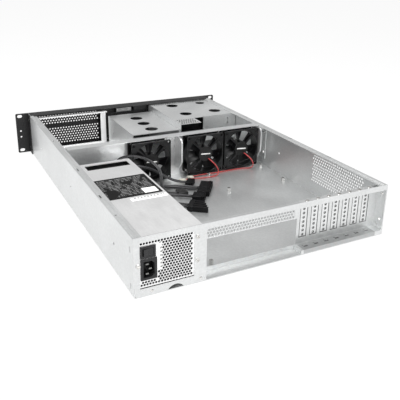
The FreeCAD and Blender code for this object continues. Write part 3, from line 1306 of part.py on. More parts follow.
def connector(end, direction, plug):
    """Plug housing behind a cable end, with ribs along its sides.

    end is the middle of the face that the cable meets; direction points from the cable
    into the plug.
    """
    length, width, height, ribs = plug
    body = box(0, -width / 2, -height / 2, length, width / 2, height / 2)
    lip = box(length * 0.7, -width / 2 - 0.8, -height / 2 - PLUG_LIP, length, width / 2 + 0.8,
              height / 2 + PLUG_LIP)
    cuts = []
    pitch = width / ribs
    for k in range(1, int(round(ribs))):
        w = -width / 2 + k * pitch
        cuts.append(box(length * 0.15, w - 0.5, height / 2 - 0.8, length * 0.65, w + 0.5, height / 2 + 1))
        cuts.append(box(length - 1.5, w - 0.6, -height / 2 + 1, length + 1, w + 0.6, height / 2 - 1))
    return turned(minus(joined([body, lip]), cuts), end, direction)


def comb_plug(end, direction):
    """Plug with a row of narrow tongues that step forward one after another."""
    parts = []
    for k in range(TINES):
        w = (k - (TINES - 1) / 2) * TINE_PITCH
        reach = TINE_BASE + TINE_L - k * TINE_STEP / 2
        base = box(0, w - TINE_PITCH / 2, -TINE_H / 2, TINE_BASE, w + TINE_PITCH / 2, TINE_H / 2)
        tongue = box(0, w - TINE_W / 2, -TINE_H / 2, reach, w + TINE_W / 2, TINE_H / 2)
        parts += [base, tongue]
    return turned(joined(parts), end, direction)


def turned(shape, end, direction):
    """A shape drawn along +X, turned to a level direction and moved to a point."""
    shape.rotate(V(0, 0, 0), V(0, 0, 1), math.degrees(math.atan2(direction[1], direction[0])))
    shape.translate(V(*end))
    return shape


def connectors():
    """Plugs at the free ends of the supply's cables and of the fan leads."""
    routes = cable_routes()

    def ending(name):
        a = routes[name][1][-2]
        b = routes[name][1][-1]
        return b, (b[0] - a[0], b[1] - a[1])

    return {
        "plug_main": connector(*ending("loom_main"), PLUG_MAIN),
        "plug_board": connector(*ending("loom_board"), PLUG_BOARD),
        "plug_comb": comb_plug(*ending("loom_aux")),
        "plug_drive": connector(*ending("loom_drive"), PLUG_DRIVE),
        "plug_loop": connector(*ending("loom_loop"), PLUG_LOOP),
        "fan_plug_1": connector(*ending("fan_lead_1"), PLUG_FAN),
        "fan_plug_2": connector(*ending("fan_lead_2"), PLUG_FAN),
    }


def harness_grommet():
    """Bush on the supply's front plate that the cables leave."""
    block = box(GROMMET_X0, GROMMET_Y, GROMMET_Z0, GROMMET_X1, PSU_Y0, GROMMET_Z1)
    upright = [e for e in block.Edges if e.BoundBox.YLength > 1]
    return block.makeFillet(3.0, upright)


def build():
    """All sub-parts by node name."""
    nodes = {
        "base_tray": base_tray(),
        "rear_panel": rear_panel(),
        "slot_cover_screws": slot_cover_screws(),
        "front_panel": front_panel(),
        "ear_left": ear(1),
        "ear_right": ear(-1),
        "ear_screws": ear_screws(),
        "intake_frame": intake_frame(),
        "drive_cage_low": low_cage(),
        "drive_cage_wide": wide_cage(),
        "power_button": button(POWER_X, POWER_R),
        "reset_button": button(RESET_X, RESET_R),
        "button_module": button_module(),
        "port_block": port_block(),
        "fan_wall": fan_wall(),
        "gusset_right": gusset(FAN_XS[0] - FAN_SIZE / 2 - GUSSET_GAP, -1),
        "gusset_middle": gusset(GUSSET_MIDDLE_X, 1),
        "fan_screws": fan_screws(),
        "psu_case": psu_case(),
        "psu_cover": psu_cover(),
        "psu_rails": group(psu_rail(y) for y in PSU_RAILS_Y),
        "psu_inlet": psu_inlet(),
        "psu_inlet_pins": psu_inlet_pins(),
        "psu_switch_housing": psu_switch_housing(),
        "psu_switch_rocker": psu_switch_rocker(),
        "psu_screws": psu_screws(),
        "standoffs": standoffs(),
        "case_rivets": case_rivets(),
        "harness_grommet": harness_grommet(),
    }
    for k, x in enumerate(slot_centres()):
        nodes["slot_cover_%d" % (k + 1)] = slot_cover(x)
    for name, rectangles in bay_rectangles().items():
        nodes[name] = group(bay_cover(rectangle) for rectangle in rectangles)
    for k, x in enumerate(FAN_XS):
        nodes["fan_frame_%d" % (k + 1)] = fan_frame(x, FAN_SIZE, FAN_DEPTH, FAN_DUCT_R, FAN_HUB_R, FAN_WALL_Y,
                                                    FAN_CENTRE_Z, FAN_HOLE_PITCH, FAN_TUBE_R)
        nodes["fan_rotor_%d" % (k + 1)] = fan_rotor(x, FAN_DEPTH, FAN_DUCT_R, FAN_HUB_R, FAN_WALL_Y,
                                                    FAN_CENTRE_Z, FAN_BLADES)
    psu_fan_y = REAR_Y - PANEL_T - PSU_T - PSU_FAN_DEPTH
    psu_fan_z = PSU_Z0 + PSU_H / 2
    nodes["psu_fan_frame"] = fan_frame(PSU_FAN_X, PSU_FAN, PSU_FAN_DEPTH, PSU_FAN_DUCT_R, PSU_FAN_HUB_R, psu_fan_y,
                                       psu_fan_z, PSU_FAN * 5 / 6, PSU_FAN / 2 - 0.4)
    nodes["psu_fan_rotor"] = fan_rotor(PSU_FAN_X, PSU_FAN_DEPTH, PSU_FAN_DUCT_R, PSU_FAN_HUB_R, psu_fan_y,
                                       psu_fan_z, FAN_BLADES)
    for name, (radius, points) in cable_routes().items():
        nodes[name] = tube_along(points, radius, name)
    nodes.update(connectors())
    return nodes


def main():
    """Write one STEP file for each node."""
    os.makedirs("parts", exist_ok=True)
    for name, shape in build().items():
        if not shape.isValid():
            print("not valid:", name)
        shape.exportStep("parts/%s.step" % name)


main()
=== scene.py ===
"""Dresses the open rackmount server case: finishes, perforation, harness, films and studio."""
import logging
import math
import random
from dataclasses import dataclass, field
from enum import Enum
from typing import Any, Dict, List, Optional, Sequence, Tuple, Union

import bmesh
import bpy
from mathutils import Matrix, Vector


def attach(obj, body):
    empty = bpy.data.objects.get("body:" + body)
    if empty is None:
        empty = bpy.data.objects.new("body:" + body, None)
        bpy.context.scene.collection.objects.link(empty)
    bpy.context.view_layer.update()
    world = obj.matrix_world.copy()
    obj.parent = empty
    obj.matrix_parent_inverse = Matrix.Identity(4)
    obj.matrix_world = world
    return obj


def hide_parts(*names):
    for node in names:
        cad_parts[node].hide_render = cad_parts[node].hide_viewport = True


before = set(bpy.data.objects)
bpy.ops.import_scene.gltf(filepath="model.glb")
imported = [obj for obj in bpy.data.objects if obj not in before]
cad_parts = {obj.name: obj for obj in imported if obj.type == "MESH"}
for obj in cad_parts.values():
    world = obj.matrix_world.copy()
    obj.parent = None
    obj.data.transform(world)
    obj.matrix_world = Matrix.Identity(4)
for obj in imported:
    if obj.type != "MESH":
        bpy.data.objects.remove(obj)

LOG = logging.getLogger("server_case")
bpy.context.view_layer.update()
MM = 0.001
Point = Tuple[float, float, float]
Colour = Point
Pair = Tuple[float, float]
Size = Tuple[float, float, float, int]


class Grain(Enum):
    """Direction of the rolling grain on a sheet."""

    LENGTH = (420.0, 26.0, 420.0)
    WIDTH = (26.0, 420.0, 420.0)
    UPRIGHT = (420.0, 420.0, 26.0)


class Field:
    """A value that varies over a surface and can be used in expressions."""

    def __init__(self, graph: "Graph", socket: bpy.types.NodeSocket) -> None:
        """Wraps an output socket.

        Args:
            graph: The material graph that the socket belongs to.
            socket: The output that carries the value.
        """
        self.graph = graph
        self.socket = socket

    def _maths(self, operation: str, *values: Any) -> "Field":
        """Adds one Math node.

        Args:
            operation: The Math node's operation.
            values: Its inputs, numbers or fields.

        Returns:
            The result as a field.
        """
        return self.graph.add("ShaderNodeMath", {"operation": operation}, dict(enumerate(values)))

    def __add__(self, other: Any) -> "Field":
        """Sum."""
        return self._maths("ADD", self, other)

    __radd__ = __add__

    def __sub__(self, other: Any) -> "Field":
        """Difference."""
        return self._maths("SUBTRACT", self, other)

    def __rsub__(self, other: Any) -> "Field":
        """Difference from a number."""
        return self._maths("SUBTRACT", other, self)

    def __mul__(self, other: Any) -> "Field":
        """Product."""
        return self._maths("MULTIPLY", self, other)

    __rmul__ = __mul__

    def __truediv__(self, other: Any) -> "Field":
        """Quotient."""
        return self._maths("DIVIDE", self, other)

    def above(self, edge: float) -> "Field":
        """One where the value is more than edge, else zero."""
        return self._maths("GREATER_THAN", self, edge)

    def below(self, edge: float) -> "Field":
        """One where the value is less than edge, else zero."""
        return self._maths("LESS_THAN", self, edge)

    def wave(self) -> "Field":
        """Sine of the value."""
        return self._maths("SINE", self)

    def size(self) -> "Field":
        """Absolute value."""
        return self._maths("ABSOLUTE", self)

    def part(self) -> "Field":
        """Fraction above the next lower whole number."""
        return self._maths("FRACT", self)

    def root(self) -> "Field":
        """Square root."""
        return self._maths("SQRT", self)

    def either(self, other: Any) -> "Field":
        """The greater of two values."""
        return self._maths("MAXIMUM", self, other)

    def between(self, low: float, high: float) -> "Field":
        """One where the value lies between two edges, else zero."""
        return self.above(low) * self.below(high)

    def ramp(self, low: float, high: float) -> "Field":
        """Rises from zero at low to one at high, and stays there."""
        spans = {"Value": self, "From Min": low, "From Max": high, "To Min": 0.0, "To Max": 1.0}
        return self.graph.add("ShaderNodeMapRange", {"clamp": True}, spans)


class Graph:
    """Node tree of one material, with one method that adds any node."""

    def __init__(self, name: str) -> None:
        """Makes an empty material with a shader and an output.

        Args:
            name: The material's name.
        """
        self.material = bpy.data.materials.new(name)
        self.material.use_nodes = True
        self.tree = self.material.node_tree
        self.tree.nodes.clear()
        self.output = self.tree.nodes.new("ShaderNodeOutputMaterial")
        self.shader = self.tree.nodes.new("ShaderNodeBsdfPrincipled")
        self.tree.links.new(self.shader.outputs["BSDF"], self.output.inputs["Surface"])
        self._place: Optional[bpy.types.Node] = None

    def add(self, kind: str, settings: Dict[str, Any], inputs: Dict[Any, Any],
            out: Union[int, str] = 0) -> Field:
        """Adds a node, sets it and fills its sockets.

        Args:
            kind: The node's type.
            settings: Properties of the node.
            inputs: Socket name or number to a number, colour, vector or Field.
            out: Name or number of the output to return.

        Returns:
            The chosen output as a field.
        """
        node = self.tree.nodes.new(kind)
        for key, value in settings.items():
            setattr(node, key, value)
        for key, value in inputs.items():
            socket = node.inputs[key]
            if isinstance(value, Field):
                self.tree.links.new(value.socket, socket)
            else:
                socket.default_value = value
        return Field(self, node.outputs[out])

    def place(self) -> Field:
        """Position on the object, in metres, along the row's axes.

        Returns:
            The position as a field.
        """
        if self._place is None:
            self._place = self.tree.nodes.new("ShaderNodeTexCoord")
        return Field(self, self._place.outputs["Object"])

    def axis(self, name: str) -> Field:
        """One coordinate of the position, X, Y or Z, in metres."""
        return self.add("ShaderNodeSeparateXYZ", {}, {"Vector": self.place()}, name)

    def noise(self, scale: float, detail: float, stretch: Point = (1.0, 1.0, 1.0)) -> Field:
        """Soft noise.

        Args:
            scale: Features per metre.
            detail: Octaves.
            stretch: Extra scale along each axis.

        Returns:
            A field from 0 to 1.
        """
        where = self.add("ShaderNodeVectorMath", {"operation": "MULTIPLY"},
                         {0: self.place(), 1: stretch})
        settings = {"Vector": where, "Scale": scale, "Detail": detail}
        return self.add("ShaderNodeTexNoise", {}, settings, "Fac")

    def blend(self, share: Any, first: Any, second: Any) -> Field:
        """Mixes two colours.

        Args:
            share: Amount of the second colour.
            first: Colour or field at share 0.
            second: Colour or field at share 1.

        Returns:
            The mixed colour.
        """
        return self.add("ShaderNodeMix", {"data_type": "RGBA"},
                        {0: share, 6: rgba(first), 7: rgba(second)}, 2)

    def relief(self, height: Field, depth: float, strength: float) -> None:
        """Feeds a height to the shader's Normal through a Bump node.

        Args:
            height: The height field.
            depth: Height of one unit, in metres.
            strength: Weight of the bump.
        """
        settings = {"Height": height, "Distance": depth, "Strength": strength}
        self.feed("Normal", self.add("ShaderNodeBump", {}, settings, "Normal"))

    def feed(self, socket: str, value: Any) -> None:
        """Sets or links one socket of the shader.

        Args:
            socket: The socket's name.
            value: A number, a colour or a field.
        """
        target = self.shader.inputs[socket]
        if isinstance(value, Field):
            self.tree.links.new(value.socket, target)
        else:
            target.default_value = rgba(value) if target.type == "RGBA" else value


def rgba(value: Any) -> Any:
    """A colour with its alpha, or the field itself.

    Args:
        value: A colour with three or four parts, or a field.

    Returns:
        Four parts, or the same field.
    """
    if isinstance(value, Field) or len(value) == 4:
        return value
    return (*value, 1.0)


def shade(colour: Colour, factor: float, lift: float = 0.0) -> Colour:
    """The colour times a factor, raised by lift and kept at one or less."""
    return tuple(min(1.0, c * factor + lift) for c in colour)


@dataclass(frozen=True)
class Finish:
    """A named finish, which paints one material."""

    name: str

    def paint(self) -> bpy.types.Material:
        """Builds the material.

        Returns:
            The finished material.
        """
        g = Graph(self.name)
        self.fill(g)
        return g.material

    def fill(self, g: Graph) -> None:
        """Adds the finish's nodes to the graph of its material."""
        raise NotImplementedError


@dataclass(frozen=True)
class SlotGapShade:
    """Painted shade in the gaps round the expansion slots and their covers, round the covers' holes
    and the ledge's lances, and over the ledge behind the panel, in metres.
    """

    first_x: float = -0.067
    pitch: float = 0.02032
    count: int = 7
    half: float = 0.0065
    low: float = 0.0195
    high: float = 0.077
    holes: int = 8
    hole: float = 0.0024
    line: float = 0.0007
    plane: float = 0.3055
    lance_y: float = 0.314
    lance: float = 0.0042
    lance_from: float = 0.0013
    lance_to: float = 0.0029
    lance_top: float = 0.011
    ledge_top: float = 0.0115
    ledge: float = 0.45

    def mask(self, g: Graph) -> Field:
        """Where the painted shade lies.

        Args:
            g: Graph of the material that carries them.

        Returns:
            One in the painted shade, else zero.
        """
        x = g.axis("X")
        z = g.axis("Z")
        u = (((x - self.first_x) / self.pitch + 0.5).part() - 0.5) * self.pitch
        step = (self.high - self.low) / self.holes
        w = (((z - self.low) / step).part() - 0.5) * step
        # Painted shade: dark lines along the gaps beside, below and above each slot.
        inside_x = u.size().below(self.half + self.line)
        inside_z = z.between(self.low - self.line, self.high + self.line)
        sides = u.size().between(self.half - self.line, self.half + self.line) * inside_z
        bottom = (z - self.low).size().below(self.line)
        ends = bottom.either((z - self.high).size().below(self.line)) * inside_x
        # Painted shade: dark discs round the covers' holes, wider than the holes.
        punched = (u * u + w * w).root().below(self.hole) * z.between(self.low, self.high)
        first = self.first_x + self.pitch / 2
        last = first - self.pitch * self.count
        y = g.axis("Y")
        # Painted shade: dark rings round the ledge's lances.
        lance = (y - self.lance_y).size().between(self.lance_from, self.lance_to)
        lance = lance * u.size().below(self.lance) * z.below(self.lance_top)
        plate = sides.either(ends).either(punched) * y.below(self.plane)
        # Painted shade over the ledge behind the panel's plane, at a lower weight.
        ledge_shade = y.above(self.plane) * z.below(self.ledge_top) * self.ledge
        return plate.either(lance).either(ledge_shade) * x.between(last, first)


@dataclass(frozen=True)
class ZincSheet(Finish):
    """Rolled zinc-plated steel: dull mirror with grain, mottling and faint handling marks, and at
    will painted shade round the expansion slots.
    """

    tint: Colour = (0.72, 0.73, 0.73)
    gloss: float = 0.34
    grain: Grain = Grain.LENGTH
    mottle: float = 0.10
    metal: float = 0.92
    marks: Optional[SlotGapShade] = None
    shade_colour: Colour = (0.05, 0.05, 0.05)
    shade_weight: float = 0.8

    def fill(self, g: Graph) -> None:
        """Clouds, flakes and rolling lines set the tone, the gloss and the relief.

        Args:
            g: The graph to fill.
        """
        clouds = g.noise(16.0, 4.0)
        flakes = g.add("ShaderNodeTexVoronoi", {}, {"Vector": g.place(), "Scale": 260.0},
                       "Distance")
        rolled = g.noise(1.0, 2.0, self.grain.value)
        smudge = g.noise(7.0, 5.0).ramp(0.52, 0.72)
        tone = clouds * 0.6 + rolled * 0.25 + flakes * 0.3
        colour = g.blend(tone.ramp(0.3, 0.8), shade(self.tint, 1.0 - self.mottle),
                         shade(self.tint, 1.0 + self.mottle * 0.6))
        # Painted shade of the slot gaps, holes, lances and ledge, darkened into the colour.
        if self.marks:
            colour = g.blend(self.marks.mask(g) * self.shade_weight, colour, self.shade_colour)
        g.feed("Base Color", colour)
        g.feed("Metallic", self.metal)
        g.feed("Roughness", clouds * 0.08 + rolled * 0.10 + smudge * 0.06 + (self.gloss - 0.09))
        g.relief(rolled * 0.7 + flakes * 0.3, 0.00006, 0.55)


@dataclass(frozen=True)
class PowderCoat(Finish):
    """Satin powder coat with fine orange peel."""

    colour: Colour = (0.007, 0.007, 0.0075)
    gloss: float = 0.42
    shine: float = 0.35

    def fill(self, g: Graph) -> None:
        """Orange peel sets the relief, and wear lightens the coat in places.

        Args:
            g: The graph to fill.
        """
        peel = g.noise(1500.0, 2.0)
        wear = g.noise(30.0, 5.0).ramp(0.6, 0.8)
        g.feed("Base Color", g.blend(wear * 0.35, self.colour, shade(self.colour, 1.9, 0.004)))
        g.feed("Roughness", peel * 0.12 + wear * 0.1 + (self.gloss - 0.06))
        g.feed("Specular IOR Level", self.shine)
        g.relief(peel, 0.0001, 0.5)


@dataclass(frozen=True)
class Moulding(Finish):
    """Moulded plastic with a fine eroded grain."""

    colour: Colour
    gloss: float = 0.48
    grain: float = 2600.0
    shine: float = 0.35

    def fill(self, g: Graph) -> None:
        """Broad clouds set the tone, and the grain sets the gloss and the relief.

        Args:
            g: The graph to fill.
        """
        fine = g.noise(self.grain, 2.0)
        broad = g.noise(60.0, 3.0)
        g.feed("Base Color", g.blend(broad.ramp(0.35, 0.7), shade(self.colour, 0.82),
                                     shade(self.colour, 1.15)))
        g.feed("Roughness", fine * 0.14 + broad * 0.08 + (self.gloss - 0.1))
        g.feed("Specular IOR Level", self.shine)
        g.relief(fine, 0.00006, 0.6)


@dataclass(frozen=True)
class BrightPlate(Finish):
    """Bright nickel or dull plate on turned and headed parts."""

    colour: Colour = (0.82, 0.81, 0.79)
    gloss: float = 0.22

    def fill(self, g: Graph) -> None:
        """Stains set the tone, and turning marks set the gloss and the relief.

        Args:
            g: The graph to fill.
        """
        turned = g.noise(900.0, 2.0)
        stain = g.noise(90.0, 4.0)
        g.feed("Base Color", g.blend(stain.ramp(0.4, 0.75), self.colour, shade(self.colour, 0.78)))
        g.feed("Metallic", 1.0)
        g.feed("Roughness", turned * 0.12 + stain * 0.1 + (self.gloss - 0.08))
        g.relief(turned, 0.00004, 0.5)


@dataclass(frozen=True)
class Insulation(Finish):
    """Extruded wire insulation, slightly glossy."""

    colour: Colour

    def fill(self, g: Graph) -> None:
        """Marks of the extrusion set the tone, the gloss and the relief.

        Args:
            g: The graph to fill.
        """
        drawn = g.noise(420.0, 2.0)
        g.feed("Base Color", g.blend(drawn.ramp(0.35, 0.7), self.colour,
                                     shade(self.colour, 1.4, 0.004)))
        g.feed("Roughness", drawn * 0.15 + 0.28)
        g.relief(drawn, 0.00005, 0.4)


@dataclass(frozen=True)
class PrintedFilm(Finish):
    """Self-adhesive film with rows of broken bars and, at will, one pale field.

    axes names the direction of the bars and the one across them; low and high are the
    film's corners in millimetres on these two axes. patch is the pale field's rectangle
    as shares of the film.
    """

    ground: Colour
    ink: Colour
    low: Pair
    high: Pair
    rows: int
    patch: Optional[Tuple[float, float, float, float]] = None
    axes: Tuple[str, str] = ("X", "Y")
    dashes: float = 0.0
    weight: float = 0.55
    margin: float = 0.06
    patch_colour: Colour = (0.72, 0.72, 0.70)

    def fill(self, g: Graph) -> None:
        """Lays the bars and the pale field over the ground.

        Args:
            g: The graph to fill.
        """
        low = [v * MM for v in self.low]
        high = [v * MM for v in self.high]
        along, across = ((g.axis(self.axes[k]) - low[k]) / (high[k] - low[k]) for k in range(2))
        row = (across * (self.rows * 2.0 * math.pi)).wave().above(0.35)
        if self.dashes:
            breaks = (along * self.dashes).part().above(0.4)
        else:
            short = g.noise(420.0, 2.0, (1.0, 0.12, 1.0)).above(0.47)
            breaks = short * g.noise(38.0, 1.0, (1.0, 0.7, 1.0)).above(0.38)
        edges = (self.margin, 1.0 - self.margin)
        inside = along.between(*edges) * across.between(*edges)
        colour = g.blend(row * breaks * inside * self.weight, self.ground, self.ink)
        if self.patch:
            x0, y0, x1, y1 = self.patch
            spot = along.between(x0, x1) * across.between(y0, y1)
            colour = g.blend(spot, colour, self.patch_colour)
        g.feed("Base Color", colour)
        fine = g.noise(900.0, 2.0)
        g.feed("Roughness", fine * 0.1 + 0.38)
        g.feed("Specular IOR Level", 0.12)
        g.relief(fine, 0.00003, 0.4)


def add_object(name: str, data: Any) -> bpy.types.Object:
    """Makes an object for some data and links it to the scene.

    Args:
        name: The object's name.
        data: Its mesh, curve, lamp or camera.

    Returns:
        The new object.
    """
    made = bpy.data.objects.new(name, data)
    bpy.context.scene.collection.objects.link(made)
    return made


def to_mesh(bm: bmesh.types.BMesh, name: str) -> bpy.types.Mesh:
    """Turns an edit mesh, which is used up, into a new mesh.

    Args:
        bm: The edit mesh.
        name: The new mesh's name.

    Returns:
        The new mesh.
    """
    mesh = bpy.data.meshes.new(name)
    bm.to_mesh(mesh)
    bm.free()
    return mesh


def face_outwards(piece: bpy.types.Object) -> None:
    """Turns the normals of a closed piece outwards.

    Args:
        piece: The piece.
    """
    bm = bmesh.new()
    bm.from_mesh(piece.data)
    bmesh.ops.recalc_face_normals(bm, faces=bm.faces)
    bm.to_mesh(piece.data)
    bm.free()


def add_block(bm: bmesh.types.BMesh, low: Point, high: Point, edge: float = 0.0) -> None:
    """Adds a block to an edit mesh.

    Args:
        bm: The mesh that takes it.
        low: Its lower corner in millimetres.
        high: Its upper corner in millimetres.
        edge: Width of its chamfers in millimetres, none at zero.
    """
    made = bmesh.ops.create_cube(bm, size=1.0)["verts"]
    for vertex in made:
        place = [a + (c + 0.5) * (b - a) for a, b, c in zip(low, high, vertex.co)]
        vertex.co = Vector(place) * MM
    if edge:
        edges = list({e for vertex in made for e in vertex.link_edges})
        bmesh.ops.bevel(bm, geom=edges, offset=edge * MM, segments=1, affect="EDGES")


def mesh_piece(name: str, vertices: Sequence[Vector], faces: Sequence[Sequence[int]],
               materials: Sequence[bpy.types.Material], indices: Optional[Sequence[int]] = None,
               smooth: bool = False) -> bpy.types.Object:
    """Makes a mesh object in the scene.

    Args:
        name: The piece's name.
        vertices: Corners in metres.
        faces: Corner numbers of each face.
        materials: Materials of the piece.
        indices: Material number of each face.
        smooth: Whether faces are shaded smooth.

    Returns:
        The new object.
    """
    mesh = bpy.data.meshes.new(name)
    mesh.from_pydata([tuple(v) for v in vertices], [], [tuple(f) for f in faces])
    for material in materials:
        mesh.materials.append(material)
    if indices is not None:
        mesh.polygons.foreach_set("material_index", list(indices))
    if smooth:
        mesh.polygons.foreach_set("use_smooth", [True] * len(mesh.polygons))
    mesh.validate()
    mesh.update()
    return add_object(name, mesh)


def settle(piece: bpy.types.Object, body: str = "chassis") -> bpy.types.Object:
    """Lets a piece ride on a body.

    Args:
        piece: The piece.
        body: The body that carries it.

    Returns:
        The same piece.
    """
    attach(piece, body)
    LOG.info("%s: %d faces", piece.name, len(piece.data.polygons) if piece.type == "MESH" else 0)
    return piece


@dataclass
class Perforation:
    """Plate with a staggered field of round holes, punched right through.

    corner, along, up and through are in millimetres; along and up span the field and
    through is the plate's thickness as a vector.
    """

    corner: Point
    along: Point
    up: Point
    through: Point
    columns: int
    rows: int
    radius: float
    corners: int = 8

    def fill(self, bm: bmesh.types.BMesh) -> None:
        """Adds the plate's faces to a mesh.

        Args:
            bm: The mesh that takes them.
        """
        corner = Vector(self.corner) * MM
        along = Vector(self.along) * MM
        up = Vector(self.up) * MM
        through = Vector(self.through) * MM
        cell_u = 1.0 / self.columns
        cell_v = 1.0 / self.rows
        hole_u = self.radius * MM / along.length
        hole_v = self.radius * MM / up.length

        def both(u: float, v: float) -> Tuple[bmesh.types.BMVert, bmesh.types.BMVert]:
            """Front and back corner at one place of the field."""
            spot = corner + along * u + up * v
            return bm.verts.new(spot), bm.verts.new(spot + through)

        for row in range(self.rows):
            shift = cell_u / 2 if row % 2 else 0.0
            v0 = row * cell_v
            v1 = v0 + cell_v
            if shift:
                for u0, u1 in ((0.0, shift), (1.0 - shift, 1.0)):
                    ring = [both(u0, v0), both(u1, v0), both(u1, v1), both(u0, v1)]
                    bm.faces.new([p[0] for p in ring])
                    bm.faces.new([p[1] for p in reversed(ring)])
            for column in range(self.columns - (1 if shift else 0)):
                u0 = shift + column * cell_u
                u1 = u0 + cell_u
                um = (u0 + u1) / 2
                vm = (v0 + v1) / 2
                rim = [(u1, vm), (u1, v1), (um, v1), (u0, v1),
                       (u0, vm), (u0, v0), (um, v0), (u1, v0)]
                outer = [both(u, v) for u, v in rim]
                inner = [both(um + hole_u * math.cos(a), vm + hole_v * math.sin(a))
                         for a in (2 * math.pi / self.corners * k for k in range(self.corners))]
                for k in range(self.corners):
                    n = (k + 1) % self.corners
                    bm.faces.new([outer[k][0], outer[n][0], inner[n][0], inner[k][0]])
                    bm.faces.new([outer[n][1], outer[k][1], inner[k][1], inner[n][1]])
                    bm.faces.new([inner[k][0], inner[n][0], inner[n][1], inner[k][1]])


@dataclass
class PunchedSheet:
    """Takes a folded sheet from the frame and gives it its real, finer holes."""

    node: str
    slot: str
    material: bpy.types.Material
    windows: List[Tuple[Point, Point]]
    fields: List[Perforation]

    def build(self) -> None:
        """Cuts each coarse field out of a copy of the sheet and fits the fine one.

        The new piece stands for the node.
        """
        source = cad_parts[self.node]
        copy = add_object(self.node + "_fine", source.data.copy())
        for low, high in self.windows:
            block = bmesh.new()
            add_block(block, low, high)
            cutter = add_object("cutter", to_mesh(block, "cutter"))
            cut = copy.modifiers.new("window", "BOOLEAN")
            cut.operation = "DIFFERENCE"
            cut.solver = "EXACT"
            cut.object = cutter
            graph = bpy.context.evaluated_depsgraph_get()
            mesh = bpy.data.meshes.new_from_object(copy.evaluated_get(graph))
            copy.modifiers.clear()
            copy.data = mesh
            bpy.data.objects.remove(cutter)
        bm = bmesh.new()
        bm.from_mesh(copy.data)
        for part in self.fields:
            part.fill(bm)
        bm.to_mesh(copy.data)
        bm.free()
        copy.data.materials.clear()
        copy.data.materials.append(self.material)
        copy.data.polygons.foreach_set("material_index", [0] * len(copy.data.polygons))
        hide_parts(self.node)
        settle(copy)


@dataclass
class WireBundle:
    """A limp bundle of twisted wires on one smooth route, in millimetres."""

    node: str
    slot: str
    radius: float
    length: float
    route: List[Point]
    plug: str
    wires: List[int]
    twist: float = 0.010
    sway: float = 0.5
    seed: int = 1
    sides: int = 7
    thinnest: float = 0.85
    tray_top: float = 1.25

    def centre_line(self) -> List[Vector]:
        """Points read from the route's smooth spline.

        Returns:
            Points in metres, a few millimetres apart.
        """
        curve = bpy.data.curves.new(self.node + "_line", "CURVE")
        curve.dimensions = "3D"
        curve.resolution_u = 12
        spline = curve.splines.new("NURBS")
        spline.points.add(len(self.route) - 1)
        for point, place in zip(spline.points, self.route):
            point.co = (*(c * MM for c in place), 1.0)
        spline.order_u = 3
        spline.use_endpoint_u = True
        line = add_object(self.node + "_line", curve)
        graph = bpy.context.evaluated_depsgraph_get()
        mesh = bpy.data.meshes.new_from_object(line.evaluated_get(graph))
        points = [v.co.copy() for v in mesh.vertices]
        bpy.data.objects.remove(line)
        bpy.data.curves.remove(curve)
        bpy.data.meshes.remove(mesh)
        return points

    def build(self, materials: Sequence[bpy.types.Material], far: bpy.types.Object) -> None:
        """Args:
            materials: Insulation colours; wires holds each wire's number in this list.
            far: The housing on the far end; not used.
        """
        line = self.centre_line()
        chance = random.Random(self.seed)
        sides = self.sides
        vertices: List[Vector] = []
        faces: List[Sequence[int]] = []
        indices: List[int] = []
        frames = self._frames(line)
        centred = len(self.wires) > 3
        ring = len(self.wires) - 1 if centred else len(self.wires)
        thick = max(self.thinnest, self.radius / 3.2) if centred else self.radius / 2.1
        orbit = self.radius - thick
        floor = (self.tray_top + thick) * MM
        for number, tone in enumerate(self.wires):
            core = centred and number == 0
            phase = 2 * math.pi * number / ring
            drift = chance.uniform(0.7, 1.3)
            lean = Vector([chance.uniform(low, 1.0) for low in (-1.0, 0.0, 0.1)]).normalized()
            bulge = self.sway * chance.uniform(0.1, 1.0) * MM
            start = len(vertices)
            run = 0.0
            for step, (spot, side, lift) in enumerate(frames):
                if step:
                    run += (spot - frames[step - 1][0]).length
                wander = 0.25 * math.sin(run / (0.031 * drift) + number)
                turn = phase + run / self.twist * 0.12 + wander
                swell = 1.0 + 0.10 * math.sin(run / (0.023 * drift) + 2 * number)
                reach = 0.0 if core else orbit * MM * swell
                middle = spot + (side * math.cos(turn) + lift * math.sin(turn)) * reach
                share = step / (len(frames) - 1)
                ripple = 0.8 + 0.2 * math.sin(9 * share + number)
                middle += lean * bulge * math.sin(math.pi * share) ** 2 * ripple
                middle.z = max(middle.z, floor)
                for k in range(sides):
                    a = 2 * math.pi * k / sides
                    vertices.append(middle + (side * math.cos(a) + lift * math.sin(a)) * thick * MM)
            last = len(frames) - 1
            for step in range(last):
                for k in range(sides):
                    n = (k + 1) % sides
                    a = start + step * sides
                    b = a + sides
                    faces.append((a + k, a + n, b + n, b + k))
                    indices.append(tone)
            faces.append(tuple(start + k for k in reversed(range(sides))))
            faces.append(tuple(start + last * sides + k for k in range(sides)))
            indices += [tone, tone]
        piece = mesh_piece(self.node + "_wires", vertices, faces, materials, indices, True)
        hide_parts(self.node)
        settle(piece)
        self.radius * 2 * MM

    def _frames(self, line: Sequence[Vector]) -> List[Tuple[Vector, Vector, Vector]]:
        """Two steady cross directions at each point of the line.

        Args:
            line: Points of the centre line.

        Returns:
            Each point with its two directions.
        """
        made = []
        side = None
        for k, spot in enumerate(line):
            ahead = (line[min(k + 1, len(line) - 1)] - line[max(k - 1, 0)]).normalized()
            if side is None:
                side = ahead.cross(Vector((0, 0, 1)))
                if side.length < 0.1:
                    side = ahead.cross(Vector((1, 0, 0)))
            side = (side - ahead * side.dot(ahead)).normalized()
            made.append((spot, side, ahead.cross(side)))
        return made


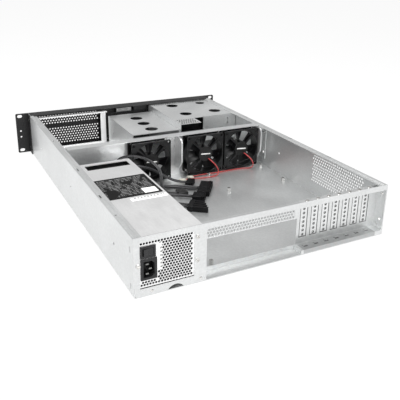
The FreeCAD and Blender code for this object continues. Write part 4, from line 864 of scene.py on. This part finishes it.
@dataclass
class Housing:
    """Crimp housing of a cable: body with ribs, a lip, a latch and open cells, in millimetres.

    end is the middle of the face that the cable meets; heading points into the housing.
    """

    node: str
    end: Point
    heading: Pair
    length: float
    width: float
    height: float
    cells: int
    lip: float = 0.6
    slot: str = "plug_black"
    mouth: float = 3.0
    wall: float = 0.9
    rib: float = 0.45

    def build(self, material: bpy.types.Material) -> bpy.types.Object:
        """Builds the housing in place of its node.

        Args:
            material: The housing's plastic.

        Returns:
            The housing.
        """
        bm = bmesh.new()
        full = self.length
        w = self.width / 2
        h = self.height / 2
        half = self.wall / 2
        back = full - self.mouth
        lip = self.lip - 0.05
        add_block(bm, (0.0, -w, -h), (back, w, h), 0.5)
        add_block(bm, (full * 0.7, -w - 0.7, -h - lip), (back - 0.2, w + 0.7, h + lip), 0.3)
        pitch = self.width / self.cells
        for k in range(self.cells + 1):
            middle = -w + k * pitch
            low = max(-w, middle - half)
            high = min(w, middle + half)
            add_block(bm, (back, low, -h), (full, high, h), 0.1)
            if 0 < k < self.cells:
                rib = middle - self.rib, middle + self.rib
                add_block(bm, (full * 0.12, rib[0], h), (full * 0.66, rib[1], h + 0.55), 0.2)
        for z in (-h + half, 0.0, h - half):
            add_block(bm, (back, -w, z - half), (full, w, z + half), 0.1)
        latch = min(3.2, self.width / 4)
        add_block(bm, (full * 0.2, -latch, h + 0.1), (full * 0.92, latch, h + self.lip), 0.25)
        turn = Matrix.Rotation(math.atan2(self.heading[1], self.heading[0]), 4, "Z")
        place = Matrix.Translation(Vector(self.end) * MM) @ turn
        bmesh.ops.transform(bm, matrix=place, verts=bm.verts)
        piece = add_object(self.node + "_housing", to_mesh(bm, self.node + "_housing"))
        piece.data.materials.append(material)
        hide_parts(self.node)
        return settle(piece)


@dataclass
class Harness:
    """All free cables: the supply's black bundles and the thin fan leads."""

    black: Insulation = Insulation("wire_black", (0.006, 0.006, 0.0065))
    # Painted highlight: grey insulation among the black wires stands for glints on the bundles.
    grey: Insulation = Insulation("wire_glint_grey", (0.045, 0.045, 0.048))
    red: Insulation = Insulation("wire_red", (0.30, 0.014, 0.017))
    pink: Insulation = Insulation("wire_pink", (0.34, 0.06, 0.055))
    rest_main: float = 6.8
    rest_drive: float = 4.8
    rest_loop: float = 6.3
    rest_fan: float = 3.4
    rest_comb: float = 5.7
    rest_lead: float = 2.7

    def bundles(self) -> List[WireBundle]:
        """The bundles with their routes.

        Returns:
            One bundle for each cable node.
        """
        main, drive, loop = self.rest_main, self.rest_drive, self.rest_loop
        comb, lead, tip = self.rest_comb, self.rest_lead, self.rest_fan
        # In each wires list, number 1 is the grey wire, painted glints among the black ones.
        return [
            WireBundle("loom_main", "loom_wire", 3.8, 206.7, [
                (122, 25, 28), (122, -8, 28), (106, -28, 22), (78, -28, 13), (52, -10, main),
                (28, 8, main), (2, 20, main), (-23, 37.7, main)
            ], "plug_main", [0, 1, 1, 0, 0, 1, 0, 0, 1, 0, 1, 0], seed=3),
            WireBundle("loom_board", "loom_wire", 3.0, 211.3, [
                (136, 25, 44), (136, -4, 44), (120, -25, 41), (94, -20, 30), (76, 6, 18),
                (58, 34, main), (33, 48.7, main), (5, 68.5, main)
            ], "plug_board", [0, 0, 1, 1, 0, 0, 1, 0, 0, 1], seed=5),
            WireBundle("loom_aux", "loom_wire", 3.8, 248.7, [
                (152, 25, 58), (152, -8, 58), (132, -32, 57), (104, -24, 50), (92, 6, 38),
                (88, 38, 23), (76, 66, 10), (50, 82, comb), (28, 99, comb)
            ], "plug_comb", [0, 1, 0, 1, 0, 0, 1, 0, 1, 0, 0], seed=7),
            WireBundle("loom_drive", "loom_wire", 2.6, 209.1, [
                (126, 25, 64), (126, -4, 64), (108, -27, 67), (78, -29, 65), (52, -18, 54),
                (40, 4, 40), (50, 26, 16), (38, 36, drive), (22, 37, drive)
            ], "plug_drive", [0, 1, 0, 1, 0, 0, 1, 0], seed=9),
            WireBundle("loom_loop", "loom_wire", 2.6, 239.4, [
                (162, 25, 34), (162, -8, 34), (144, -32, 38), (112, -41, 44), (80, -28, 45),
                (50, -27, 36), (24, -26, 18), (4, -14, loop), (-14, 1, loop)
            ], "plug_loop", [0, 0, 1, 0, 1, 0, 0, 1], seed=11),
            WireBundle("fan_lead_1", "lead_wire", 1.2, 184.6, [
                (-164, -35, 34), (-164, -19, 34), (-179, -18, 16), (-177, -22, lead),
                (-158, -30.6, lead), (-130, -30.8, lead), (-102, -29.6, lead),
                (-76, -30.8, lead), (-58, -30, tip), (-42, -28, tip)
            ], "fan_plug_1", [2, 0, 3], sway=0.0, seed=13),
            WireBundle("fan_lead_2", "lead_wire", 1.2, 119.2, [
                (-80, -35, 34), (-80, -19, 34), (-95, -18, 16), (-93, -15, lead),
                (-76, -12.5, lead), (-56, -14, lead), (-38, -19, tip), (-22, -19.5, tip)
            ], "fan_plug_2", [2, 2, 3], sway=0.0, seed=17),
        ]

    def housings(self, wardrobe: "Wardrobe") -> Dict[str, Tuple[Size, Moulding, str]]:
        """Size with number of cells, plastic and slot of each housing.

        Args:
            wardrobe: Gives the plastics.

        Returns:
            A table by node.
        """
        black = (wardrobe.nylon_black, "plug_black")
        small = ((13.0, 8.0, 3.2, 3), wardrobe.nylon_pale, "plug_small")
        return {
            "plug_main": ((23.0, 52.0, 10.0, 12), *black),
            "plug_board": ((23.0, 22.0, 10.0, 4), *black),
            "plug_drive": ((18.0, 21.0, 6.0, 5), wardrobe.nylon_grey, "plug_pale"),
            "plug_loop": ((14.0, 24.0, 9.0, 5), *black),
            "fan_plug_1": small,
            "fan_plug_2": small,
        }

    def build(self, wardrobe: "Wardrobe") -> None:
        """Builds every bundle and housing.

        Args:
            wardrobe: Gives the housings' plastics.
        """
        materials = [finish.paint() for finish in (self.black, self.grey, self.red, self.pink)]
        housings = self.housings(wardrobe)
        for bundle in self.bundles():
            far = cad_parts[bundle.plug]
            if bundle.plug in housings:
                size, finish, slot = housings[bundle.plug]
                a, b = bundle.route[-2:]
                housing = Housing(bundle.plug, b, (b[0] - a[0], b[1] - a[1]), *size, slot=slot)
                far = housing.build(wardrobe.material(finish))
            bundle.build(materials, far)


@dataclass
class Film:
    """Thin printed film stuck on a face.

    low and high are opposite corners in millimetres; the film is as thin as their gap.
    """

    name: str
    low: Point
    high: Point
    finish: Finish
    corner: float

    def build(self) -> None:
        """Makes the film with rounded corners."""
        a = Vector(self.low) * MM
        b = Vector(self.high) * MM
        size = b - a
        thin = min(range(3), key=lambda i: size[i])
        u, v = [i for i in range(3) if i != thin]
        r = self.corner * MM
        outline = []
        for cu, cv, start in ((1, 1, 0), (0, 1, 90), (0, 0, 180), (1, 0, 270)):
            mu = a[u] + (size[u] - r if cu else r)
            mv = a[v] + (size[v] - r if cv else r)
            for k in range(4):
                angle = math.radians(start + 30 * k)
                outline.append((mu + r * math.cos(angle), mv + r * math.sin(angle)))
        vertices = []
        for level in (a[thin], b[thin]):
            for pu, pv in outline:
                spot = [0.0, 0.0, 0.0]
                spot[u] = pu
                spot[v] = pv
                spot[thin] = level
                vertices.append(Vector(spot))
        n = len(outline)
        faces: List[Sequence[int]] = [tuple(reversed(range(n))), tuple(range(n, 2 * n))]
        faces += [(k, (k + 1) % n, n + (k + 1) % n, n + k) for k in range(n)]
        piece = mesh_piece(self.name, vertices, faces, [self.finish.paint()])
        face_outwards(piece)
        settle(piece)


@dataclass
class FanDisc:
    """Round film on a fan's motor seat with one plain pale bar."""

    name: str
    centre: Point
    radius: float
    bar: Pair = (21.0, 2.2)
    tilt: float = -4.0
    thick: float = 0.25
    bar_top: float = 0.32
    bevel: float = 0.15
    corners: int = 40

    def build(self, film: bpy.types.Material, pale: bpy.types.Material) -> None:
        """Makes the disc, facing +Y.

        Args:
            film: Material of the disc.
            pale: Material of the bar.
        """
        centre = Vector(self.centre) * MM
        count = self.corners
        vertices: List[Vector] = []
        faces: List[Sequence[int]] = []
        for level, radius in ((0.0, self.radius), (self.thick, self.radius - self.bevel)):
            for k in range(count):
                a = 2 * math.pi * k / count
                spot = Vector((math.cos(a) * radius, level, math.sin(a) * radius))
                vertices.append(centre + spot * MM)
        faces += [tuple(range(count)), tuple(reversed(range(count, 2 * count)))]
        faces += [(k, k + count, (k + 1) % count + count, (k + 1) % count) for k in range(count)]
        tones = [0] * len(faces)
        turn = Matrix.Rotation(math.radians(self.tilt), 3, "Y")
        s = len(vertices)
        long, wide = (side / 2 for side in self.bar)
        for level in (self.thick, self.bar_top):
            for dx, dz in ((-long, -wide), (long, -wide), (long, wide), (-long, wide)):
                vertices.append(centre + (turn @ Vector((dx, level, dz))) * MM)
        faces += [(s + 7, s + 6, s + 5, s + 4), (s, s + 1, s + 2, s + 3)]
        faces += [(s + k, s + 4 + k, s + 4 + (k + 1) % 4, s + (k + 1) % 4) for k in range(4)]
        tones += [1] * 6
        piece = mesh_piece(self.name, vertices, faces, [film, pale], tones)
        face_outwards(piece)
        settle(piece)


@dataclass
class Wardrobe:
    """Finishes of the frame's own nodes."""

    tray: ZincSheet = ZincSheet("zinc_tray", (0.66, 0.67, 0.67), metal=0.80)
    # The panel and the slot covers carry painted shade in the slot gaps and round the holes.
    panel: ZincSheet = ZincSheet("zinc_panel", grain=Grain.WIDTH, marks=SlotGapShade())
    inner: ZincSheet = ZincSheet("zinc_inner", (0.84, 0.85, 0.85), grain=Grain.WIDTH)
    cover: ZincSheet = ZincSheet("zinc_cover", (0.78, 0.79, 0.79), grain=Grain.UPRIGHT,
                                 marks=SlotGapShade())
    supply: ZincSheet = ZincSheet("zinc_supply", (0.86, 0.86, 0.86), 0.40, mottle=0.05)
    # Painted highlight: the gussets are the fan wall's zinc, given a lighter tint as a lit copy of
    # it.
    rim: ZincSheet = ZincSheet("zinc_inner_lit", (0.88, 0.88, 0.88), 0.30, Grain.UPRIGHT, 0.06)
    # Painted light: the intake frame is the same zinc, given a lighter tint to stand for the light
    # on its lip and head.
    intake: ZincSheet = ZincSheet("zinc_intake_lit", (0.93, 0.93, 0.93), 0.42, mottle=0.04, metal=0.30)
    paint_black: PowderCoat = PowderCoat("paint_black")
    plastic_black: Moulding = Moulding("plastic_black", (0.012, 0.012, 0.013))
    plastic_fan: Moulding = Moulding("plastic_fan", (0.0035, 0.0035, 0.0038), gloss=0.36)
    plastic_rotor: Moulding = Moulding("plastic_rotor", (0.0045, 0.0045, 0.005), gloss=0.32)
    plastic_key: Moulding = Moulding("plastic_key", (0.05, 0.05, 0.055), gloss=0.3)
    plastic_rocker: Moulding = Moulding("plastic_rocker", (0.018, 0.018, 0.019), gloss=0.26)
    nylon_black: Moulding = Moulding("nylon_black", (0.004, 0.004, 0.0045), gloss=0.34, shine=0.2)
    nylon_grey: Moulding = Moulding("nylon_grey", (0.022, 0.022, 0.022), gloss=0.4, shine=0.25)
    nylon_pale: Moulding = Moulding("nylon_pale", (0.62, 0.60, 0.52), gloss=0.42)
    nickel: BrightPlate = BrightPlate("nickel")
    tin: BrightPlate = BrightPlate("dull_tin", (0.22, 0.22, 0.22), 0.42)
    pin: BrightPlate = BrightPlate("plated_pin", (0.28, 0.28, 0.27), 0.3)
    oxide: BrightPlate = BrightPlate("black_oxide", (0.06, 0.06, 0.06), 0.35)
    made: Dict[str, bpy.types.Material] = field(default_factory=dict)

    def material(self, finish: Finish) -> bpy.types.Material:
        """One material for each finish, made when first asked for.

        Args:
            finish: The finish.

        Returns:
            Its material.
        """
        if finish.name not in self.made:
            self.made[finish.name] = finish.paint()
        return self.made[finish.name]

    def groups(self) -> List[Tuple[Finish, Sequence[str]]]:
        """Each finish with the nodes that wear it.

        Returns:
            Pairs of a finish and its nodes.
        """
        return [
            (self.tray, ("base_tray",)),
            (self.panel, ("rear_panel",)),
            (self.intake, ("intake_frame",)),
            (self.inner, ("fan_wall", "drive_cage_low", "drive_cage_wide", "psu_rails")),
            (self.rim, ("gusset_middle", "gusset_right")),
            (self.cover, tuple("slot_cover_%d" % k for k in range(1, 8))),
            (self.supply, ("psu_case", "psu_cover")),
            (self.paint_black, ("front_panel", "ear_left", "ear_right")),
            (self.plastic_black, ("bay_cover_low", "bay_covers_wide", "button_module",
                                  "psu_switch_housing", "psu_inlet", "harness_grommet")),
            (self.plastic_fan, ("fan_frame_1", "fan_frame_2", "fan_frame_3", "psu_fan_frame")),
            (self.plastic_rotor, ("fan_rotor_1", "fan_rotor_2", "fan_rotor_3",
                                  "psu_fan_rotor")),
            (self.plastic_key, ("power_button", "reset_button")),
            (self.plastic_rocker, ("psu_switch_rocker",)),
            (self.nylon_black, ("plug_main", "plug_board", "plug_comb", "plug_loop")),
            (self.nylon_grey, ("plug_drive",)),
            (self.nylon_pale, ("fan_plug_1", "fan_plug_2")),
            (self.nickel, ("slot_cover_screws", "psu_screws", "fan_screws", "case_rivets",
                           "standoffs")),
            (self.tin, ("port_block",)),
            (self.pin, ("psu_inlet_pins",)),
            (self.oxide, ("ear_screws",)),
        ]

    def dress(self) -> None:
        """Puts a finish on every node of the frame."""
        for finish, names in self.groups():
            for name in names:
                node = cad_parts.get(name)
                if node is None:
                    LOG.warning("no node %s", name)
                    continue
                node.data.materials.clear()
                node.data.materials.append(self.material(finish))
                LOG.info("%s wears %s", name, finish.name)


@dataclass(frozen=True)
class Patch:
    """One rectangle of holes: its two spans in millimetres, and columns, rows and radius."""

    along: Pair
    up: Pair
    holes: Tuple[int, int, float]


@dataclass(frozen=True)
class CrossSheet:
    """A sheet across Y whose patches of holes are finer than in the frame, in millimetres.

    y is its front face and thick the new plates' thickness; the windows are cut from
    before y to behind it.
    """

    node: str
    slot: str
    y: float
    thick: float
    before: float
    behind: float
    patches: Tuple[Patch, ...]

    def build(self, material: bpy.types.Material) -> None:
        """Punches the patches.

        Args:
            material: The sheet's finish.
        """
        windows: List[Tuple[Point, Point]] = []
        fields: List[Perforation] = []
        for patch in self.patches:
            (x0, x1), (z0, z1) = patch.along, patch.up
            windows.append(((x0, self.y - self.before, z0), (x1, self.y + self.behind, z1)))
            fields.append(Perforation((x1, self.y, z0), (x0 - x1, 0, 0), (0, 0, z1 - z0),
                                      (0, self.thick, 0), *patch.holes))
        PunchedSheet(self.node, self.slot, material, windows, fields).build()


@dataclass
class Sheetwork:
    """The sheets whose perforation is finer than in the frame, in millimetres."""

    wall_x: float = -215.0
    sheet: float = 1.2
    vent: Patch = Patch((131.0, 272.0), (24.5, 78.5), (24, 10, 2.05))
    cage_top: float = 85.0
    skin: float = 0.3
    tongue: Patch = Patch((-103.4, -61.4), (-156.0, -124.0), (8, 5, 2.3))
    brow: Patch = Patch((-207.0, -66.0), (-301.5, -289.0), (30, 3, 1.6))
    front: CrossSheet = CrossSheet("front_panel", "black_paint", -325.0, 1.5, 1.0, 2.5, (
        Patch((58.0, 203.0), (10.0, 49.0), (24, 7, 1.75)),
        Patch((58.0, 203.0), (57.0, 78.5), (24, 4, 1.75))))
    strip: CrossSheet = CrossSheet("rear_panel", "zinc_panel", 304.0, 0.6, 1.0, 2.0, (
        Patch((-49.5, 103.0), (54.2, 77.2), (30, 5, 2.1)),))
    grille: CrossSheet = CrossSheet("psu_case", "psu_steel", 323.0, 1.0, 0.5, 2.0, (
        Patch((130.0, 181.5), (15.0, 79.4), (12, 17, 1.88)),
        Patch((181.5, 206.0), (15.0, 22.5), (6, 2, 1.75)),
        Patch((181.5, 206.0), (75.4, 79.4), (6, 1, 1.75))))

    def build(self, wardrobe: Wardrobe) -> None:
        """Builds every punched sheet.

        Args:
            wardrobe: Gives their finishes.
        """
        (y0, y1), (z0, z1) = self.vent.along, self.vent.up
        x = self.wall_x
        vent = Perforation((x, y0, z0), (0, y1 - y0, 0), (0, 0, z1 - z0), (self.sheet, 0, 0),
                           *self.vent.holes)
        window = ((x - 1, y0, z0), (x + self.sheet + 1, y1, z1))
        PunchedSheet("base_tray", "zinc_tray", wardrobe.material(wardrobe.tray),
                     [window], [vent]).build()
        self.front.build(wardrobe.material(wardrobe.paint_black))
        self.strip.build(wardrobe.material(wardrobe.panel))
        self.grille.build(wardrobe.material(wardrobe.supply))
        self._cage(wardrobe)

    def _cage(self, wardrobe: Wardrobe) -> None:
        """Fine perforation of the wide cage's tongue and of its top's front edge.

        Args:
            wardrobe: Gives the finish.
        """
        fields = []
        windows = []
        z = self.cage_top - self.skin
        for patch in (self.tongue, self.brow):
            (x0, x1), (y0, y1) = patch.along, patch.up
            fields.append(Perforation((x0, y0, z), (x1 - x0, 0, 0), (0, y1 - y0, 0),
                                      (0, 0, self.skin), *patch.holes))
            windows.append(((x0, y0, z - 2), (x1, y1, self.cage_top + 1)))
        PunchedSheet("drive_cage_wide", "zinc_inner", wardrobe.material(wardrobe.inner),
                     windows, fields).build()


@dataclass
class Prints:
    """Films on and in the supply and on the fans, in millimetres."""

    top: float = 83.2
    rating: Tuple[Pair, Pair] = ((115.5, 108.0), (205.0, 190.0))
    slip: Tuple[Pair, Pair] = ((114.0, 196.0), (171.0, 206.0))
    strip: Tuple[Pair, Pair] = ((174.6, 35.0), (181.6, 74.0))
    strip_y: Pair = (324.0, 324.2)
    fan_y: float = -35.0
    fan_z: float = 45.0
    fan_xs: Point = (-157.0, -73.5, 43.0)
    disc_radius: float = 15.2
    black: Colour = (0.002, 0.002, 0.002)
    paper: Colour = (0.80, 0.80, 0.79)

    def build(self, wardrobe: Wardrobe) -> None:
        """Builds every film.

        Args:
            wardrobe: Gives shared finishes.
        """
        low, high = self.rating
        rating = PrintedFilm("film_rating", self.black, (0.34, 0.34, 0.34), low, high, 15,
                             (0.05, 0.70, 0.30, 0.93))
        Film("supply_film", (*low, self.top), (*high, self.top + 0.15), rating, 2.0).build()
        low, high = self.slip
        slip = PrintedFilm("film_slip", self.paper, (0.03, 0.03, 0.03), low, high, 1,
                           dashes=11.0, weight=0.8)
        Film("supply_slip", (*low, self.top), (*high, self.top + 0.12), slip, 0.6).build()
        liner = Moulding("film_liner", (0.004, 0.004, 0.004), 0.4)
        Film("supply_liner", (113.2, 30.0, 76.6), (210.8, 98.0, 77.0), liner, 0.6).build()
        Film("supply_liner_front", (113.2, 29.1, 52.0), (210.8, 29.5, 81.8), liner, 0.6).build()
        (x0, z0), (x1, z1) = self.strip
        y0, y1 = self.strip_y
        strip = PrintedFilm("film_strip", self.paper, (0.04, 0.04, 0.04), (z0, x0), (z1, x1), 1,
                            axes=("Z", "X"), dashes=7.0, weight=0.8)
        Film("rear_strip", (x0, y0, z0), (x1, y1, z1), strip, 0.5).build()
        disc = wardrobe.material(Moulding("film_black", self.black, 0.4))
        bar = wardrobe.material(Moulding("film_pale", (0.75, 0.75, 0.74), 0.45))
        for number, x in enumerate(self.fan_xs, 1):
            centre = (x, self.fan_y, self.fan_z)
            FanDisc("fan_disc_%d" % number, centre, self.disc_radius).build(disc, bar)


@dataclass
class Viewpoint:
    """The photograph's camera, with its own centre of view in a 400 pixel frame."""

    place: Point = (0.435, 0.940, 0.429)
    yaw: float = -119.07
    pitch: float = -19.83
    roll: float = 1.66
    focal: float = 576.2
    centre: Pair = (220.0, 160.0)
    frame_size: float = 400.0
    sensor: float = 36.0

    def build(self) -> None:
        """Makes the camera and sets it."""
        yaw, pitch, roll = (math.radians(a) for a in (self.yaw, self.pitch, self.roll))
        level = math.cos(pitch)
        ahead = Vector((math.cos(yaw) * level, math.sin(yaw) * level, math.sin(pitch)))
        right = ahead.cross(Vector((0, 0, 1))).normalized()
        up = right.cross(ahead)
        rolled_right = right * math.cos(roll) + up * math.sin(roll)
        rolled_up = up * math.cos(roll) - right * math.sin(roll)
        data = bpy.data.cameras.new("camera")
        data.sensor_width = self.sensor
        data.lens = self.focal / self.frame_size * self.sensor
        data.shift_x = 0.5 - self.centre[0] / self.frame_size
        data.shift_y = self.centre[1] / self.frame_size - 0.5
        data.clip_end = 50.0
        camera = add_object("camera", data)
        turn = Matrix((rolled_right, rolled_up, -ahead)).transposed().to_4x4()
        camera.matrix_world = Matrix.Translation(Vector(self.place)) @ turn
        bpy.context.scene.camera = camera


def mix_shaders(tree: bpy.types.NodeTree, share: bpy.types.NodeSocket, first: bpy.types.NodeSocket,
                second: bpy.types.NodeSocket, output: bpy.types.Node) -> None:
    """Mixes two shaders by a share of the second and links them to an output.

    Args:
        tree: The node tree.
        share: Socket with the share of the second.
        first: The first shader's socket.
        second: The second shader's socket.
        output: The output node.
    """
    mix = tree.nodes.new("ShaderNodeMixShader")
    tree.links.new(share, mix.inputs["Fac"])
    tree.links.new(first, mix.inputs[1])
    tree.links.new(second, mix.inputs[2])
    tree.links.new(mix.outputs["Shader"], output.inputs["Surface"])


@dataclass
class Studio:
    """Pale floor, white surround and soft lamps."""

    floor_size: float = 9.0
    surround: float = 0.42
    glow: float = 0.92
    lamps: Tuple[Tuple[str, Point, Point, float, float], ...] = (
        ("lamp_top", (0.1, 0.1, 2.2), (0.0, 0.0, 0.0), 2.0, 64.0),
        ("lamp_left", (2.2, 0.9, 1.1), (0.1, 0.0, 0.04), 1.3, 46.0),
        ("lamp_rear", (-0.2, 2.6, 0.8), (0.0, 0.1, 0.04), 1.3, 40.0))

    def build(self) -> None:
        """Builds the floor, the world and the lamps."""
        self._floor()
        self._world()
        for lamp in self.lamps:
            self._lamp(*lamp)

    def _lamp(self, name: str, place: Point, aim: Point, size: float, power: float) -> None:
        """One square soft lamp that looks at a point.

        Args:
            name: The lamp's name.
            place: Where it stands, in metres.
            aim: The point that it looks at.
            size: Its side, in metres.
            power: Its power in watts.
        """
        data = bpy.data.lights.new(name, "AREA")
        data.shape = "SQUARE"
        data.size = size
        data.energy = power
        lamp = add_object(name, data)
        lamp.location = place
        lamp.rotation_euler = (Vector(aim) - Vector(place)).to_track_quat("-Z", "Y").to_euler()

    def _floor(self) -> None:
        """White floor that keeps a soft shadow."""
        h = self.floor_size / 2
        g = Graph("floor_white")
        paper = g.noise(3.0, 2.0)
        g.feed("Base Color", g.blend(paper, (0.86, 0.86, 0.86), (0.90, 0.90, 0.90)))
        g.feed("Roughness", 0.9)
        path = g.tree.nodes.new("ShaderNodeLightPath")
        seen, mirrored, passed = (Field(g, path.outputs["Is %s Ray" % kind])
                                  for kind in ("Camera", "Glossy", "Transmission"))
        glow = g.tree.nodes.new("ShaderNodeEmission")
        glow.inputs["Color"].default_value = (1.0, 1.0, 1.0, 1.0)
        share = (seen + mirrored + passed) * self.glow
        mix_shaders(g.tree, share.socket, g.shader.outputs["BSDF"], glow.outputs["Emission"],
                    g.output)
        corners = [Vector((x, y, 0)) for x, y in ((-h, -h), (h, -h), (h, h), (-h, h))]
        floor = mesh_piece("studio_floor", corners, [(0, 1, 2, 3)], [g.material])

    def _world(self) -> None:
        """White to the camera and in reflections, softer as a light."""
        world = bpy.data.worlds.new("studio_world")
        world.use_nodes = True
        bpy.context.scene.world = world
        tree = world.node_tree
        tree.nodes.clear()
        out = tree.nodes.new("ShaderNodeOutputWorld")
        path = tree.nodes.new("ShaderNodeLightPath")
        plain = tree.nodes.new("ShaderNodeBackground")
        plain.inputs["Strength"].default_value = self.surround
        white = tree.nodes.new("ShaderNodeBackground")
        white.inputs["Strength"].default_value = 1.0
        for node in (plain, white):
            node.inputs["Color"].default_value = (1.0, 1.0, 1.0, 1.0)
        mix_shaders(tree, path.outputs["Is Camera Ray"], plain.outputs["Background"],
                    white.outputs["Background"], out)


def write_sizes() -> None:
    """Updates the view layer."""
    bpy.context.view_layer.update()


def main() -> None:
    """Builds the scene in order."""
    logging.basicConfig(level=logging.INFO, format="%(name)s: %(message)s")
    bpy.context.scene.view_settings.view_transform = "Standard"
    Viewpoint().build()
    Studio().build()
    wardrobe = Wardrobe()
    wardrobe.dress()
    Harness().build(wardrobe)
    Sheetwork().build(wardrobe)
    Prints().build(wardrobe)
    write_sizes()


if __name__ == "__main__":
    main()
